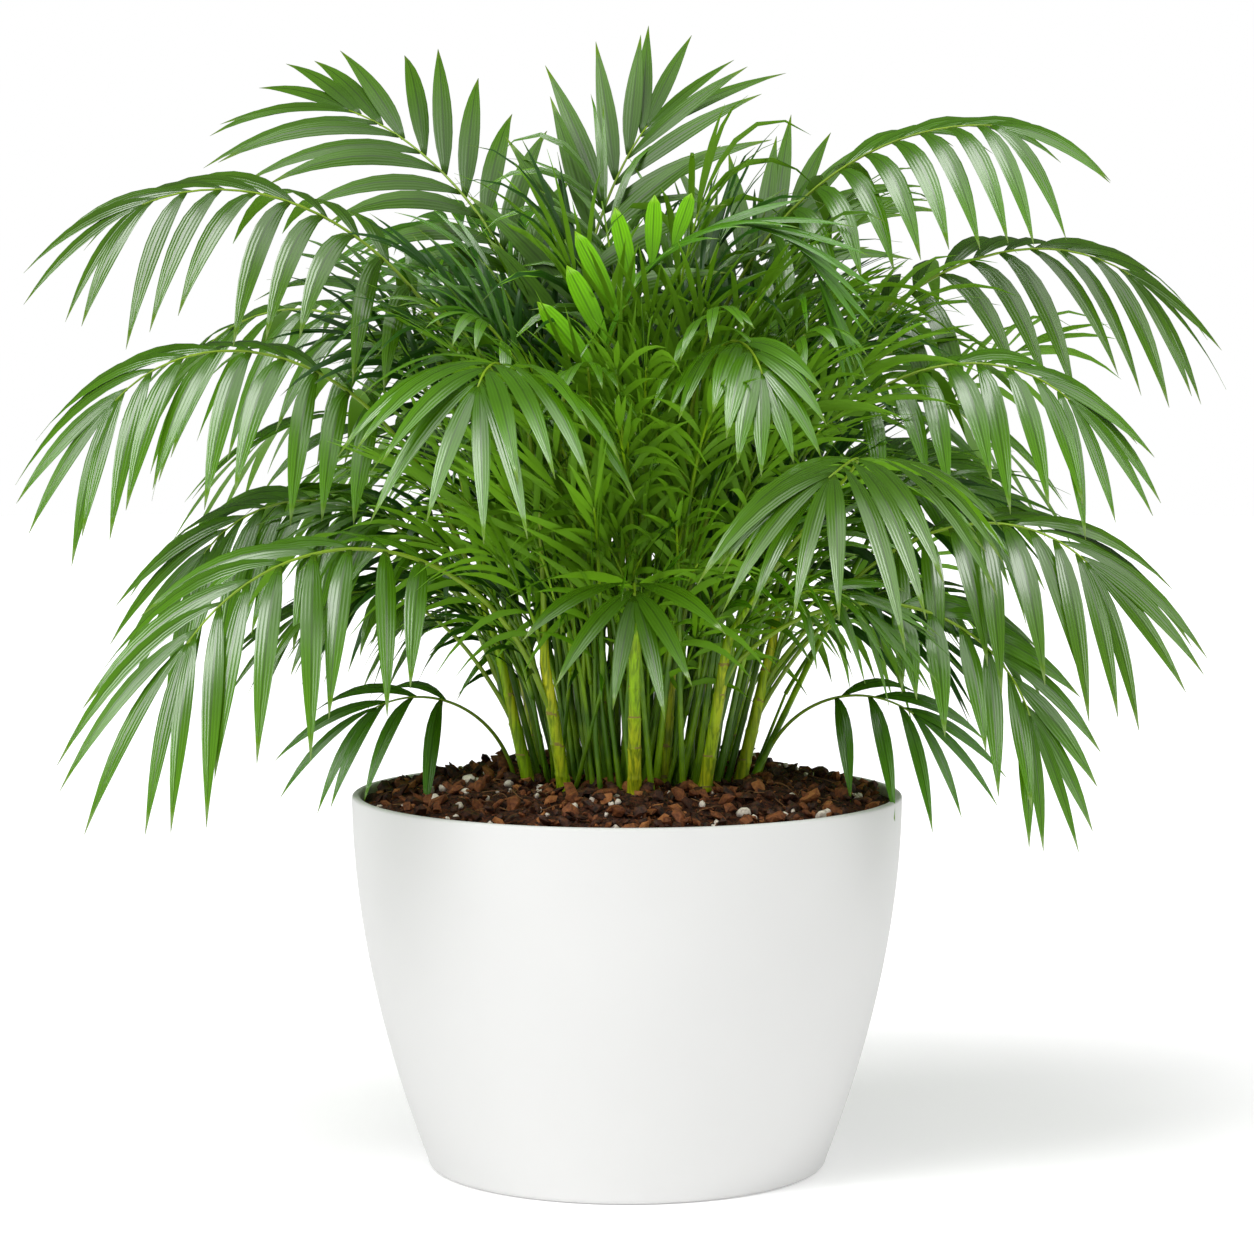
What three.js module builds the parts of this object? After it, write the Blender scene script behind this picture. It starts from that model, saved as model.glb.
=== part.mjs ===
// Potted cat palm: a clump of ringed green canes with arching feather fronds, in a plain round planter.
// Millimetres, +Z up. The origin is the middle of the planter's flat underside and the front faces -Y.
import * as THREE from "three";

// Planter: a bowl-sided round pot with a thin rolled lip.
const RIM_RADIUS = 150;
const POT_HEIGHT = 204;
const BASE_RADIUS = 108;
const BELLY = 1.88;
const WALL = 4.6;
const FLOOR = 6;
const CORNER = 4;
const LIP = 1.6;
const POT_SIDES = 36;
const WALL_STEPS = 6;
const CORNER_STEPS = 3;

// Potting mix: level under the clump and falling to the wall.
const SOIL_TOP = 210;
const SOIL_EDGE = 198;
const SOIL_LEVEL_RADIUS = 90;
const SOIL_GAP = 0.9;
const FIT = 0.3;

// Canes: rings of leaning stems round one in the middle, each with a flared foot cut flat on the mix.
const CLUMP = { x: 4, y: -3 };
const CANE_SIDES = 8;
const FOOT_RADIUS = 5.2;
const FLARE_TOP = 9;
const FLARED_TO = 4.2;
const TIP_RADIUS = 3.2;
const RINGS = [
  { name: "outer", radius: 58, first: -90, lean: 13, lengths: [82, 84, 78, 74, 80, 86, 80, 76, 72] },
  { name: "inner", radius: 31, first: 0, lean: 6.5, lengths: [108, 108, 108, 108, 108, 108] },
  { name: "middle", radius: 0, first: 20, lean: 1.5, lengths: [118] },
];
const SLOT_DROP = 14;

// Frond ribs: three-sided, widest at the foot.
const RIB_FOOT = 2;
const RIB_TIP = 0.9;
const RIB_CREST = 0.5;
const STALK_STEPS = 3;
const RIB_SAMPLES = 120;
const CANE_SAMPLES = 40;
const RIB_CLEAR = 4.6;
const SIDESTEP = 5;
const SIDESTEPS = 15;

// Leaflets: a flat top over a keel, widest in the middle and drawn out to a point.
const LEAF_WIDTH = 14.5;
const LEAF_NARROWEST = 0.6;
const LEAF_THICK = 0.012;
const LEAF_WIDEST = 0.5;
const LEAF_ROOT = 0.42;
const LEAF_STEPS = 20;

// Where they stand on the rib, how long each is for its place, and how they leave the rib and droop.
const SPACING = 0.92;
const LONGEST_AT = 0.7;
const FOOT_SHORTER = 0.24;
const END_SHORTER = 0.1;
const END_NARROWER = 0.25;
const FORWARD_FOOT = 62;
const FORWARD_TURN = 30;
const UPRIGHT_SPREAD = 0.78;
const VEE = 24;
const VEE_PER_DROOP = 7;
const BLIND_TILT = 10;
const DROOP_FOOT = 1.15;
const DROOP_LOSS = 0.45;
const SAG_POWER = 0.9;
const LEAF_SCATTER = { forward: 4, droop: 0.12, length: 0.05, tilt: 6 };

// Fronds face the light at the front: leaflets on the far side stand higher, further forward and straighter.
const LEAN = 34;
const FAR_STRAIGHTER = 0.3;
const FAR_FORWARD = 0.15;
const FAN_LEAN = 0.35;

// Leaflets keep clear of everything else: each is tried a few times, shorter and with another droop.
const LEAF_CLEAR = 0.35;
const RIM_CLEAR = 9;
const TRIES = 9;
const DROOP_TRY = 0.3;
const SHORTER_TRY = 0.05;
const SLEEVE_SIDES = 4;
const SLEEVE = Math.SQRT2;

// Colours
const POT_COLOUR = 0xf4f4f2;
const SOIL_COLOUR = 0x4a2f20;
const CANE_COLOUR = 0x8fa64a;
const LEAF_COLOUR = 0x4f7a34;

// Fronds that show, chosen by eye. Each springs a step lower than the last one on its cane.
// name, cane, turn, length, rise at the foot, fall at the end, bend, sideways swing (degrees),
// bare share of the rib, pairs of leaflets, their length and their droop
const SHOWN = [
  ["left_top", "inner_3", 158, 334, 84, 16, 1.5, -18, 0.42, 10, 100, 0.8],
  ["back_top", "inner_4", 56, 276, 88, 38, 1.8, 0, 0.42, 8, 96, 0.4],
  ["right_top", "inner_2", -4, 342, 88, -4, 1.7, -16, 0.5, 10, 84, 2.4],
  ["left_high", "inner_4", 190, 352, 75, -24, 2.2, 0, 0.5, 9, 92, 2.6],
  ["left_mid", "outer_8", 198, 300, 71, -48, 2, 0, 0.42, 9, 96, 2.8],
  ["front_left", "outer_9", 254, 244, 88, -36, 2, 4, 0.5, 8, 104, 1.6],
  ["left_low", "outer_9", 212, 252, 67, -52, 1.05, 0, 0.34, 9, 114, 2.2],
  ["front_right", "outer_2", 340, 235, 57, -20, 1.4, -100, 0.45, 9, 112, 1.7],
  ["right_high", "inner_1", 10, 326, 65, -32, 2.2, 0, 0.5, 9, 94, 2.5],
  ["right_mid", "inner_1", -16, 262, 66, -42, 2, 0, 0.5, 8, 84, 2.5],
  ["right_inner", "outer_3", 14, 176, 78, -45, 1.8, 0, 0.5, 7, 84, 2],
  ["right_low", "outer_3", -26, 212, 51, -42, 1.9, 0, 0.42, 9, 102, 2.3],
  ["right_lowest", "outer_2", -16, 194, 45, -72, 1.2, 0, 0.45, 6, 80, 1.8],
  ["front_small", "outer_1", 270, 72, 85, -35, 1.2, 0, 0.42, 3, 78, 1.2],
  ["young", "inner_5", -20, 290, 92, -70, 2.6, 0, 0.36, 11, 68, 0.8],
  ["front_high", "inner_6", -70, 215, 82, -50, 2.2, 0, 0.66, 5, 75, 1.8],
  ["left_back", "outer_7", 158, 308, 82, -42, 1.8, 0, 0.5, 9, 98, 2.4],
  ["left_inner", "outer_8", 186, 212, 70, -56, 1.6, 0, 0.45, 9, 95, 2.2],
  ["back_high", "outer_5", 42, 258, 88, 34, 1.8, 0, 0.5, 8, 94, 0.6],
  ["right_back", "inner_2", 38, 275, 82, -28, 1.9, 0, 0.5, 9, 92, 2],
  ["back_left", "outer_6", 125, 300, 84, 0, 1.9, 0, 0.5, 9, 92, 1],
];

// Suckers: two small fronds that rise from the mix beside the clump. Place first, then the same sizes.
const SUCKERS = [
  ["sucker_right", { x: 72, y: 6 }, -18, 112, 76, -34, 1.1, 0, 0.5, 4, 70, 1.6],
  ["sucker_left", { x: -62, y: 14 }, 194, 100, 76, -26, 1.1, 0, 0.5, 4, 72, 1.5],
];

// Fans of fronds by rule, which close the back and fill the middle: name, ring of canes, count, first and
// last turn, length, rise, fall, and the leaflets' length and droop.
const FANS = [
  ["back", "outer", 6, 48, 138, 255, 70, -38, 96, 1.4],
  ["front", "inner", 4, 222, 318, 186, 78, 32, 80, 0.8],
  ["heart", "inner", 4, 60, 310, 205, 82, 42, 84, 0.6],
  ["low", "outer", 5, -14, 194, 138, 60, -45, 84, 1.4],
];
const FAN_SHAPE = { bend: 1.8, swing: 0, bare: 0.45, pairs: 6, lean: FAN_LEAN };
const FAN_SCATTER = { turn: 5, length: 0.08, rise: 3, fall: 8 };

const UP = new THREE.Vector3(0, 0, 1);
const FRONT = new THREE.Vector3(0, -1, 0);
const radians = THREE.MathUtils.degToRad;
const lerp = THREE.MathUtils.lerp;

// A repeatable scatter between -1 and 1.
function wobble(a, b) {
  const x = a * 0.754877 + b * 0.56984;
  return 2 * (x - Math.floor(x)) - 1;
}

function outward(turn) {
  return new THREE.Vector3(Math.cos(turn), Math.sin(turn), 0);
}

function meshGeometry(points, faces) {
  const geometry = new THREE.BufferGeometry().setFromPoints(points);
  geometry.setIndex(faces);
  geometry.computeVertexNormals();
  return geometry;
}

// Planter and potting mix
function potRadius(z) {
  return RIM_RADIUS - (RIM_RADIUS - BASE_RADIUS) * (1 - z / POT_HEIGHT) ** BELLY;
}

function lathe(profile) {
  const points = profile.map(([radius, z]) => new THREE.Vector2(radius, z));
  return new THREE.LatheGeometry(points, POT_SIDES).rotateX(Math.PI / 2);
}

function potGeometry() {
  const profile = [[0, 0]];
  for (let i = 0; i < CORNER_STEPS; i++) {
    const bend = (Math.PI / 2) * (i / CORNER_STEPS);
    profile.push([potRadius(CORNER) - CORNER * (1 - Math.sin(bend)), CORNER * (1 - Math.cos(bend))]);
  }
  for (let i = 0; i <= WALL_STEPS; i++) {
    const z = lerp(CORNER, POT_HEIGHT - LIP, i / WALL_STEPS);
    profile.push([potRadius(z), z]);
  }
  profile.push([RIM_RADIUS - LIP, POT_HEIGHT], [RIM_RADIUS - WALL + LIP, POT_HEIGHT]);
  for (let i = WALL_STEPS; i >= 0; i--) {
    const z = lerp(FLOOR, POT_HEIGHT - LIP, i / WALL_STEPS);
    profile.push([potRadius(z) - WALL, z]);
  }
  profile.push([0, FLOOR]);
  return lathe(profile);
}

function soilGeometry() {
  const bottom = FLOOR + FIT;
  const profile = [[0, bottom]];
  for (let i = 0; i <= WALL_STEPS; i++) {
    const z = lerp(bottom, SOIL_EDGE, i / WALL_STEPS);
    profile.push([potRadius(z) - WALL - SOIL_GAP, z]);
  }
  profile.push([SOIL_LEVEL_RADIUS, SOIL_TOP], [0, SOIL_TOP]);
  return lathe(profile);
}

// Canes
function growCanes() {
  const canes = {};
  for (const ring of RINGS) {
    ring.lengths.forEach((length, i) => {
      const turn = radians(ring.first + (360 / ring.lengths.length) * i);
      const foot = new THREE.Vector3(CLUMP.x, CLUMP.y, SOIL_TOP + FIT);
      foot.addScaledVector(outward(turn), ring.radius);
      const lean = radians(ring.lean);
      const along = outward(turn).multiplyScalar(Math.sin(lean)).addScaledVector(UP, Math.cos(lean));
      canes[`${ring.name}_${i + 1}`] = { foot, along, length, fronds: 0 };
    });
  }
  return canes;
}

function onCane(cane, distance) {
  return cane.foot.clone().addScaledVector(cane.along, distance);
}

function caneRadius(cane, distance) {
  if (distance < FLARE_TOP) return lerp(FOOT_RADIUS, FLARED_TO, Math.sqrt(distance / FLARE_TOP));
  return lerp(FLARED_TO, TIP_RADIUS, (distance - FLARE_TOP) / (cane.length - FLARE_TOP));
}

// One level ring of points round a cane.
function caneRing(cane, distance, sides = CANE_SIDES, grown = 1) {
  const ring = [];
  for (let i = 0; i < sides; i++) {
    const spoke = outward((2 * Math.PI * i) / sides).multiplyScalar(grown * caneRadius(cane, distance));
    ring.push(onCane(cane, distance).add(spoke));
  }
  return ring;
}

function caneGeometry(cane) {
  const steps = [0, FLARE_TOP / 3, FLARE_TOP, cane.length / 2, cane.length];
  const points = steps.flatMap((distance) => caneRing(cane, distance));
  const last = points.length - CANE_SIDES;
  const faces = [];
  for (let i = 0; i < CANE_SIDES; i++) {
    const next = (i + 1) % CANE_SIDES;
    for (let k = 0; k < last; k += CANE_SIDES) {
      faces.push(k + i, k + next, k + CANE_SIDES + next, k + i, k + CANE_SIDES + next, k + CANE_SIDES + i);
    }
    if (i > 0 && next > 0) faces.push(0, next, i, last, last + i, last + next);
  }
  return meshGeometry(points, faces);
}

// Frond ribs: the climb eases from rise to fall, and the turn may swing sideways.
function heading(frond, share) {
  const climb = radians(lerp(frond.rise, frond.fall, share ** frond.bend));
  const turn = radians(frond.turn + frond.swing * share);
  const along = outward(turn).multiplyScalar(Math.cos(climb)).addScaledVector(UP, Math.sin(climb));
  const right = new THREE.Vector3(Math.sin(turn), -Math.cos(turn), 0);
  return { along, right, above: right.clone().cross(along) };
}

function ribLine(frond) {
  const line = [frond.root];
  for (let i = 0; i < RIB_SAMPLES; i++) {
    const { along } = heading(frond, (i + 0.5) / RIB_SAMPLES);
    line.push(line[i].clone().addScaledVector(along, frond.length / RIB_SAMPLES));
  }
  return line;
}

function onRib(frond, share) {
  const x = share * RIB_SAMPLES;
  const i = Math.min(Math.floor(x), RIB_SAMPLES - 1);
  return frond.line[i].clone().lerp(frond.line[i + 1], x - i);
}

// The foot of a rib that stands on something level, at a point of it.
function standOn(point, rise) {
  return point.addScaledVector(UP, FIT + RIB_FOOT * Math.abs(Math.cos(radians(rise))));
}

// The first frond of a cane stands on its cut tip, and the next ones against its side, each a step lower.
function rootOn(cane, frond) {
  if (cane.fronds === 0) return standOn(onCane(cane, cane.length), frond.rise);
  const distance = cane.length - SLOT_DROP * cane.fronds;
  const reach = caneRadius(cane, distance) + RIB_CREST * RIB_FOOT + FIT;
  return onCane(cane, distance).addScaledVector(outward(radians(frond.turn)), reach);
}

function caneLine(cane) {
  const line = [];
  for (let i = 0; i <= CANE_SAMPLES; i++) line.push(onCane(cane, (cane.length * i) / CANE_SAMPLES));
  return line;
}

function near(line, other) {
  return line.some((p) => other.some((q) => p.distanceTo(q) < RIB_CLEAR));
}

// A frond turns aside, by more each time to either hand, until its rib is clear of all the others.
function placeFrond(frond, cane, others) {
  for (let i = 0; i < SIDESTEPS; i++) {
    const aside = SIDESTEP * Math.ceil(i / 2) * (i % 2 === 0 ? 1 : -1);
    const placed = { ...frond, turn: frond.turn + aside };
    placed.root = cane ? rootOn(cane, placed) : frond.root;
    placed.line = ribLine(placed);
    if (!others.some((other) => other.cane !== cane && near(placed.line, other.line))) return placed;
  }
  return null;
}

function nearestCane(name, turn) {
  const ring = RINGS.find((one) => one.name === name);
  const count = ring.lengths.length;
  const place = Math.round(((turn - ring.first) * count) / 360) % count;
  return `${ring.name}_${place + 1}`;
}

// Every frond's sizes, in the order in which they are placed.
function frondList() {
  const list = [];
  for (const [name, cane, turn, length, rise, fall, bend, swing, bare, pairs, leaf, droop] of SHOWN) {
    list.push({ name, cane, turn, length, rise, fall, bend, swing, bare, pairs, leaf, droop, lean: 1 });
  }
  for (const [name, place, turn, length, rise, fall, bend, swing, bare, pairs, leaf, droop] of SUCKERS) {
    const root = standOn(new THREE.Vector3(place.x, place.y, SOIL_TOP), rise);
    list.push({ name, root, turn, length, rise, fall, bend, swing, bare, pairs, leaf, droop, lean: 1 });
  }
  FANS.forEach(([fan, ring, count, first, last, reach, foot, end, leaf, droop], f) => {
    for (let i = 0; i < count; i++) {
      const even = lerp(first, last, i / (count - 1));
      const turn = even + FAN_SCATTER.turn * wobble(i, f);
      const length = reach * (1 + FAN_SCATTER.length * wobble(i, f + 3));
      const rise = foot + FAN_SCATTER.rise * wobble(i, f + 6);
      const fall = end + FAN_SCATTER.fall * wobble(i, f + 9);
      const cane = nearestCane(ring, even);
      const name = `${fan}_${i + 1}`;
      list.push({ name, cane, turn, length, rise, fall, leaf, droop, ...FAN_SHAPE });
    }
  });
  return list;
}

function growFronds(canes) {
  const others = Object.values(canes).map((cane) => ({ cane, line: caneLine(cane) }));
  const fronds = [];
  for (const frond of frondList()) {
    const cane = canes[frond.cane];
    const placed = placeFrond(frond, cane, others);
    if (!placed) continue;
    fronds.push(placed);
    others.push({ line: placed.line });
    if (cane) cane.fronds += 1;
  }
  return fronds;
}

// Leaflets. Each springs between two stations of its rib: side 1 is the right, -1 the left, 0 the end.
function stationShares(frond) {
  const shares = [];
  for (let i = 0; i < STALK_STEPS; i++) shares.push((frond.bare * i) / STALK_STEPS);
  const half = (LEAF_ROOT * (1 - frond.bare)) / frond.pairs / 2;
  for (let i = 0; i < frond.pairs; i++) {
    const share = lerp(frond.bare, 1, ((i + 0.5) / frond.pairs) ** SPACING);
    shares.push(share - half, share + half);
  }
  shares.push(1);
  return shares;
}

// A rib's stations, each with its left, right and lower corner.
function ribStations(frond) {
  return stationShares(frond).map((share) => {
    const radius = lerp(RIB_FOOT, RIB_TIP, share);
    const station = heading(frond, share);
    const crest = onRib(frond, share).addScaledVector(station.above, RIB_CREST * radius);
    const left = crest.clone().addScaledVector(station.right, -radius);
    const right = crest.clone().addScaledVector(station.right, radius);
    const lower = crest.clone().addScaledVector(station.above, -(1 + RIB_CREST) * radius);
    return { ...station, corners: [left, right, lower] };
  });
}

// Leaflets are longest before the middle of the leafy part, and shorter to both ends.
function leafSize(share) {
  if (share > LONGEST_AT) return 1 - END_SHORTER * ((share - LONGEST_AT) / (1 - LONGEST_AT)) ** 2;
  return 1 - FOOT_SHORTER * (1 - Math.sin((Math.PI / 2) * (share / LONGEST_AT)));
}

// The middle line of a leaflet, which leaves the rib forwards and upwards and then droops.
function leafLine(frond, station, start, side, share, attempt, scatter) {
  const nearSide = frond.lean * side * station.right.dot(FRONT);
  const spread = lerp(UPRIGHT_SPREAD, 1, Math.min(1, frond.droop / 2)) * (1 + FAR_FORWARD * nearSide);
  const ahead = spread * (FORWARD_FOOT - FORWARD_TURN * share + LEAF_SCATTER.forward * scatter);
  const forward = side === 0 ? 0 : radians(ahead);
  const bent = 1 + LEAF_SCATTER.droop * scatter + FAR_STRAIGHTER * nearSide;
  const sagging = frond.droop * (DROOP_FOOT - DROOP_LOSS * share) * bent;
  const droop = sagging + DROOP_TRY * Math.ceil(attempt / 2) * (attempt % 2 ? 1 : -1);
  const full = frond.leaf * leafSize(share) * (1 + LEAF_SCATTER.length * scatter);
  const length = full * (1 - SHORTER_TRY * attempt);
  const vee = radians(VEE - VEE_PER_DROOP * frond.droop - LEAN * nearSide);
  const out = station.right.clone().multiplyScalar(side * Math.cos(vee));
  out.addScaledVector(station.above, Math.sin(vee));
  const first = out.multiplyScalar(Math.sin(forward)).addScaledVector(station.along, Math.cos(forward));
  const line = [start];
  const headings = [];
  for (let i = 0; i < LEAF_STEPS; i++) {
    const sag = droop * ((i + 0.5) / LEAF_STEPS) ** SAG_POWER;
    headings.push(first.clone().addScaledVector(UP, -sag).normalize());
    line.push(line[i].clone().addScaledVector(headings[i], length / LEAF_STEPS));
  }
  return { line, headings, length, first };
}

// A leaflet: the root's three corners, three more where it is widest, and its point.
function makeLeaf(frond, station, root, side, share, attempt) {
  const scatter = wobble(frond.number, share * 37 + side * 11);
  const start = root.reduce((sum, p) => sum.add(p), new THREE.Vector3()).divideScalar(root.length);
  const { line, headings, length, first } = leafLine(frond, station, start, side, share, attempt, scatter);
  const widest = Math.round(LEAF_WIDEST * LEAF_STEPS);
  const along = headings[widest];
  const ahead = side === 0 ? station.right.clone().negate() : station.along.clone();
  ahead.addScaledVector(first, -ahead.dot(first));
  ahead.addScaledVector(along, -ahead.dot(along)).normalize();
  const above = along.clone().cross(ahead).multiplyScalar(side === 0 ? 1 : side);
  const tilt = side === 0 ? 0 : radians(BLIND_TILT + LEAF_SCATTER.tilt * scatter);
  const edge = ahead.clone().multiplyScalar(Math.cos(tilt)).addScaledVector(above, Math.sin(tilt));
  const under = ahead.clone().multiplyScalar(Math.sin(tilt)).addScaledVector(above, -Math.cos(tilt));
  const narrower = 1 - END_NARROWER * share ** 2;
  const half = (LEAF_WIDTH / 2) * lerp(LEAF_NARROWEST, 1, leafSize(share)) * narrower;
  const front = line[widest].clone().addScaledVector(edge, half);
  const back = line[widest].clone().addScaledVector(edge, -half);
  const keel = line[widest].clone().addScaledVector(under, LEAF_THICK * length);
  const order = { 0: [front, back, keel], 1: [back, keel, front], [-1]: [keel, back, front] };
  return { root, middle: order[side], tip: line[LEAF_STEPS], line };
}

// Convex pieces that leaflets keep clear of, as their corners and the box round them.
function convex(points, owner, place) {
  const box = new THREE.Box3().setFromPoints(points).expandByScalar(LEAF_CLEAR / 2);
  const edges = points.flatMap((p, i) => points.slice(i + 1).map((q) => q.clone().sub(p)));
  return { points, box, edges, owner, place };
}

function leafPieces(leaf, owner, place) {
  const lower = convex([...leaf.root, ...leaf.middle], owner, place);
  return [lower, convex([...leaf.middle, leaf.tip], owner, place)];
}

function span(points, axis) {
  const along = points.map((p) => p.dot(axis));
  return [Math.min(...along), Math.max(...along)];
}

// Two convex pieces are apart where some plane passes between them with the clearance to spare.
function apart(a, b) {
  if (!a.box.intersectsBox(b.box)) return true;
  const edges = [...a.edges, ...b.edges];
  const axis = new THREE.Vector3();
  for (let i = 0; i < edges.length; i++) {
    for (let j = i + 1; j < edges.length; j++) {
      axis.crossVectors(edges[i], edges[j]);
      if (axis.lengthSq() < 1e-9) continue;
      axis.normalize();
      const [lowA, highA] = span(a.points, axis);
      const [lowB, highB] = span(b.points, axis);
      if (lowA - highB > LEAF_CLEAR || lowB - highA > LEAF_CLEAR) return true;
    }
  }
  return false;
}

function overPot({ line }) {
  const reach = RIM_RADIUS + RIM_CLEAR;
  return line.some((p) => p.z < POT_HEIGHT + RIM_CLEAR && Math.hypot(p.x, p.y) < reach);
}

// The first of a few tries, each shorter and with more or less droop, that touches nothing.
function placeLeaf(frond, stations, root, side, share, place, blocked) {
  for (let attempt = 0; attempt < TRIES; attempt++) {
    const leaf = makeLeaf(frond, stations[place], root, side, share, attempt);
    const pieces = leafPieces(leaf, frond, place);
    const meets = (piece, other) => {
      if (other.owner === frond && Math.abs(other.place - place) < 2) return false;
      return !apart(piece, other);
    };
    if (overPot(leaf) || pieces.some((piece) => blocked.some((other) => meets(piece, other)))) continue;
    blocked.push(...pieces);
    return leaf;
  }
  return null;
}

// A wall between four corners, cut along the diagonal that leaves it bulging outwards.
function wallFaces(points, a, b, c, d) {
  const [across, slant, up] = [b, c, d].map((i) => points[i].clone().sub(points[a]));
  return across.cross(slant).dot(up) < 0 ? [a, b, c, a, c, d] : [a, b, d, b, c, d];
}

// Frond solids
function frondGeometry(frond, blocked) {
  const stations = frond.stations;
  const points = stations.flatMap((station) => station.corners);
  const faces = [0, 2, 1];
  const grow = (loop, side, share, place) => {
    const leaf = placeLeaf(frond, stations, loop.map((i) => points[i]), side, share, place, blocked);
    if (!leaf) {
      faces.push(...loop);
      return;
    }
    const middle = points.length;
    const tip = middle + 3;
    points.push(...leaf.middle, leaf.tip);
    for (let i = 0; i < 3; i++) {
      const next = (i + 1) % 3;
      faces.push(...wallFaces(points, loop[i], loop[next], middle + next, middle + i));
      faces.push(middle + i, middle + next, tip);
    }
  };
  for (let i = 0; i + 1 < stations.length; i++) {
    const [left, right, lower] = [3 * i, 3 * i + 1, 3 * i + 2];
    const [nextLeft, nextRight, nextLower] = [left + 3, right + 3, lower + 3];
    faces.push(left, right, nextRight, left, nextRight, nextLeft);
    faces.push(lower, nextLower, nextRight, lower, nextLeft, nextLower);
    const leafy = i >= STALK_STEPS && (i - STALK_STEPS) % 2 === 0;
    if (!leafy) {
      faces.push(right, lower, nextRight, lower, left, nextLeft);
      continue;
    }
    const share = ((i - STALK_STEPS) / 2 + 0.5) / frond.pairs;
    grow([right, lower, nextRight], 1, share, i);
    grow([lower, left, nextLeft], -1, share, i);
  }
  const end = stations.length - 1;
  grow([3 * end, 3 * end + 1, 3 * end + 2], 0, 1, end);
  return meshGeometry(points, faces);
}

function paint(color, roughness) {
  return new THREE.MeshStandardMaterial({ color, roughness, metalness: 0 });
}

// The whole plant in its pot
function buildPlant() {
  const plant = new THREE.Group();
  const add = (name, geometry, material) => {
    const mesh = new THREE.Mesh(geometry, material);
    mesh.name = name;
    plant.add(mesh);
  };
  const leafGreen = paint(LEAF_COLOUR, 0.45);
  const caneGreen = paint(CANE_COLOUR, 0.5);
  add("pot", potGeometry(), paint(POT_COLOUR, 0.35));
  add("soil", soilGeometry(), paint(SOIL_COLOUR, 0.95));
  const canes = growCanes();
  const fronds = growFronds(canes);
  const blocked = [];
  for (const [name, cane] of Object.entries(canes)) {
    add(`cane_${name}`, caneGeometry(cane), caneGreen);
    const ends = [0, cane.length].flatMap((distance) => caneRing(cane, distance, SLEEVE_SIDES, SLEEVE));
    blocked.push(convex(ends));
  }
  fronds.forEach((frond, number) => {
    Object.assign(frond, { number, stations: ribStations(frond) });
    for (let i = 0; i + 1 < frond.stations.length; i++) {
      blocked.push(convex([...frond.stations[i].corners, ...frond.stations[i + 1].corners], frond, i));
    }
  });
  for (const frond of fronds) add(`frond_${frond.name}`, frondGeometry(frond, blocked), leafGreen);
  return plant;
}

export default buildPlant();
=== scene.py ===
import math
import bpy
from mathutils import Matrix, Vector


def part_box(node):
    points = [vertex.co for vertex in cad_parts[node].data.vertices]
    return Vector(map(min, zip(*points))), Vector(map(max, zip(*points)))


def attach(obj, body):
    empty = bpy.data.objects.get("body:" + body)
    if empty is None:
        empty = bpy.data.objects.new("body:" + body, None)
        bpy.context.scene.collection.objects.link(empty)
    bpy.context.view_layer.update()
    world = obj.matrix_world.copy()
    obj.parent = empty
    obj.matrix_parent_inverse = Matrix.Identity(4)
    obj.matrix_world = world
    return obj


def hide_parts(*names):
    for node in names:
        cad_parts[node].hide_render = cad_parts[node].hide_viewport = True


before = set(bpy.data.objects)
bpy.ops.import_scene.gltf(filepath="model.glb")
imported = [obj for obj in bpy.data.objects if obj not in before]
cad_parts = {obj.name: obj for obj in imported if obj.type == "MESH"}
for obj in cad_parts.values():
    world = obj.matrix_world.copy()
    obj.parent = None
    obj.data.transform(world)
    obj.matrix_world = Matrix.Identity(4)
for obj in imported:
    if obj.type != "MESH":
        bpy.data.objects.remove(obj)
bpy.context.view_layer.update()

from types import SimpleNamespace

import bmesh
import bpy
import numpy as np
from bpy.props import FloatProperty, FloatVectorProperty, IntProperty, PointerProperty
from mathutils import Vector

bl_info = {
    "name": "Potted clump palm",
    "version": (1, 0, 0),
    "blender": (4, 5, 0),
    "location": "3D View > Sidebar > Palm",
    "description": "A clump palm in a plain round planter, worked out as surfaces with numpy",
    "category": "Add Mesh",
}

# The CAD box, and the corners that sizes start from
POT_LOW, POT_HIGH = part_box("pot")
MM = 0.001
UP = np.array([0.0, 0.0, 1.0])
FRONT = np.array([0.0, -1.0, 0.0])
ROOT = "root"
SEED = 11

# Planter, in millimetres
BELLY = 1.88
FLOOR = 6
CORNER = 4
LIP = 1.6
AXIS_GAP = 0.6
POT_SIDES = 144
POT_ROWS = 40
ROUND_ROWS = 6

# Potting mix: level under the clump, heaped behind it, and falling to the wall
SOIL_TOP = 210
SOIL_EDGE = 198
SOIL_LEVEL_RADIUS = 90
HEAP = 9
HEAP_AT = (4, 44)
HEAP_WIDE = (92, 34)
FIT = 0.3
MIX_RINGS = 70
MIX_SIDES = 180
MIX_GAP = 0.8
MIX_WAVES = 26
WAVE_LENGTHS = (9, 50)
WAVE_HEIGHT = 0.014
CRUMB = 2.7
LARGE_GRAINS = 7
FIBRE_RADIUS = 0.28
BARK_HEART = "#b07440"

# Canes and the thin shoots between them. Radii are at the foot, above the flare and at the tip, and a pair
# of numbers is a middle value and its scatter.
CLUMP = np.array([4.0, -3.0, 0.0])
FLARE_TOP = 9
CANE_RADII = (5.2, 4.2, 3.2)
CANE_SLIMMER = 0.86
CANE_STEP = 0.9
CANE_SIDES = 16
SHOOT_RADII = (2.3, 1.9, 1.3)
SHOOT_THICK = (1, 0.3)
SHOOT_HEIGHT = (125, 75)
SHOOT_STEP = 2.8
SHOOT_SIDES = 7
SHOOT_REACH = 52
SHOOT_APART = 5.2
OUTER_SHOOT_RADIUS = 64
OUTER_SHOOT_LEAN = 28
OUTER_SHOOTS_BEHIND = -0.45
OUTER_SHOOT_EACH = 11
FRONT_SHOOTS_SHORTER = 0.45

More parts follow.
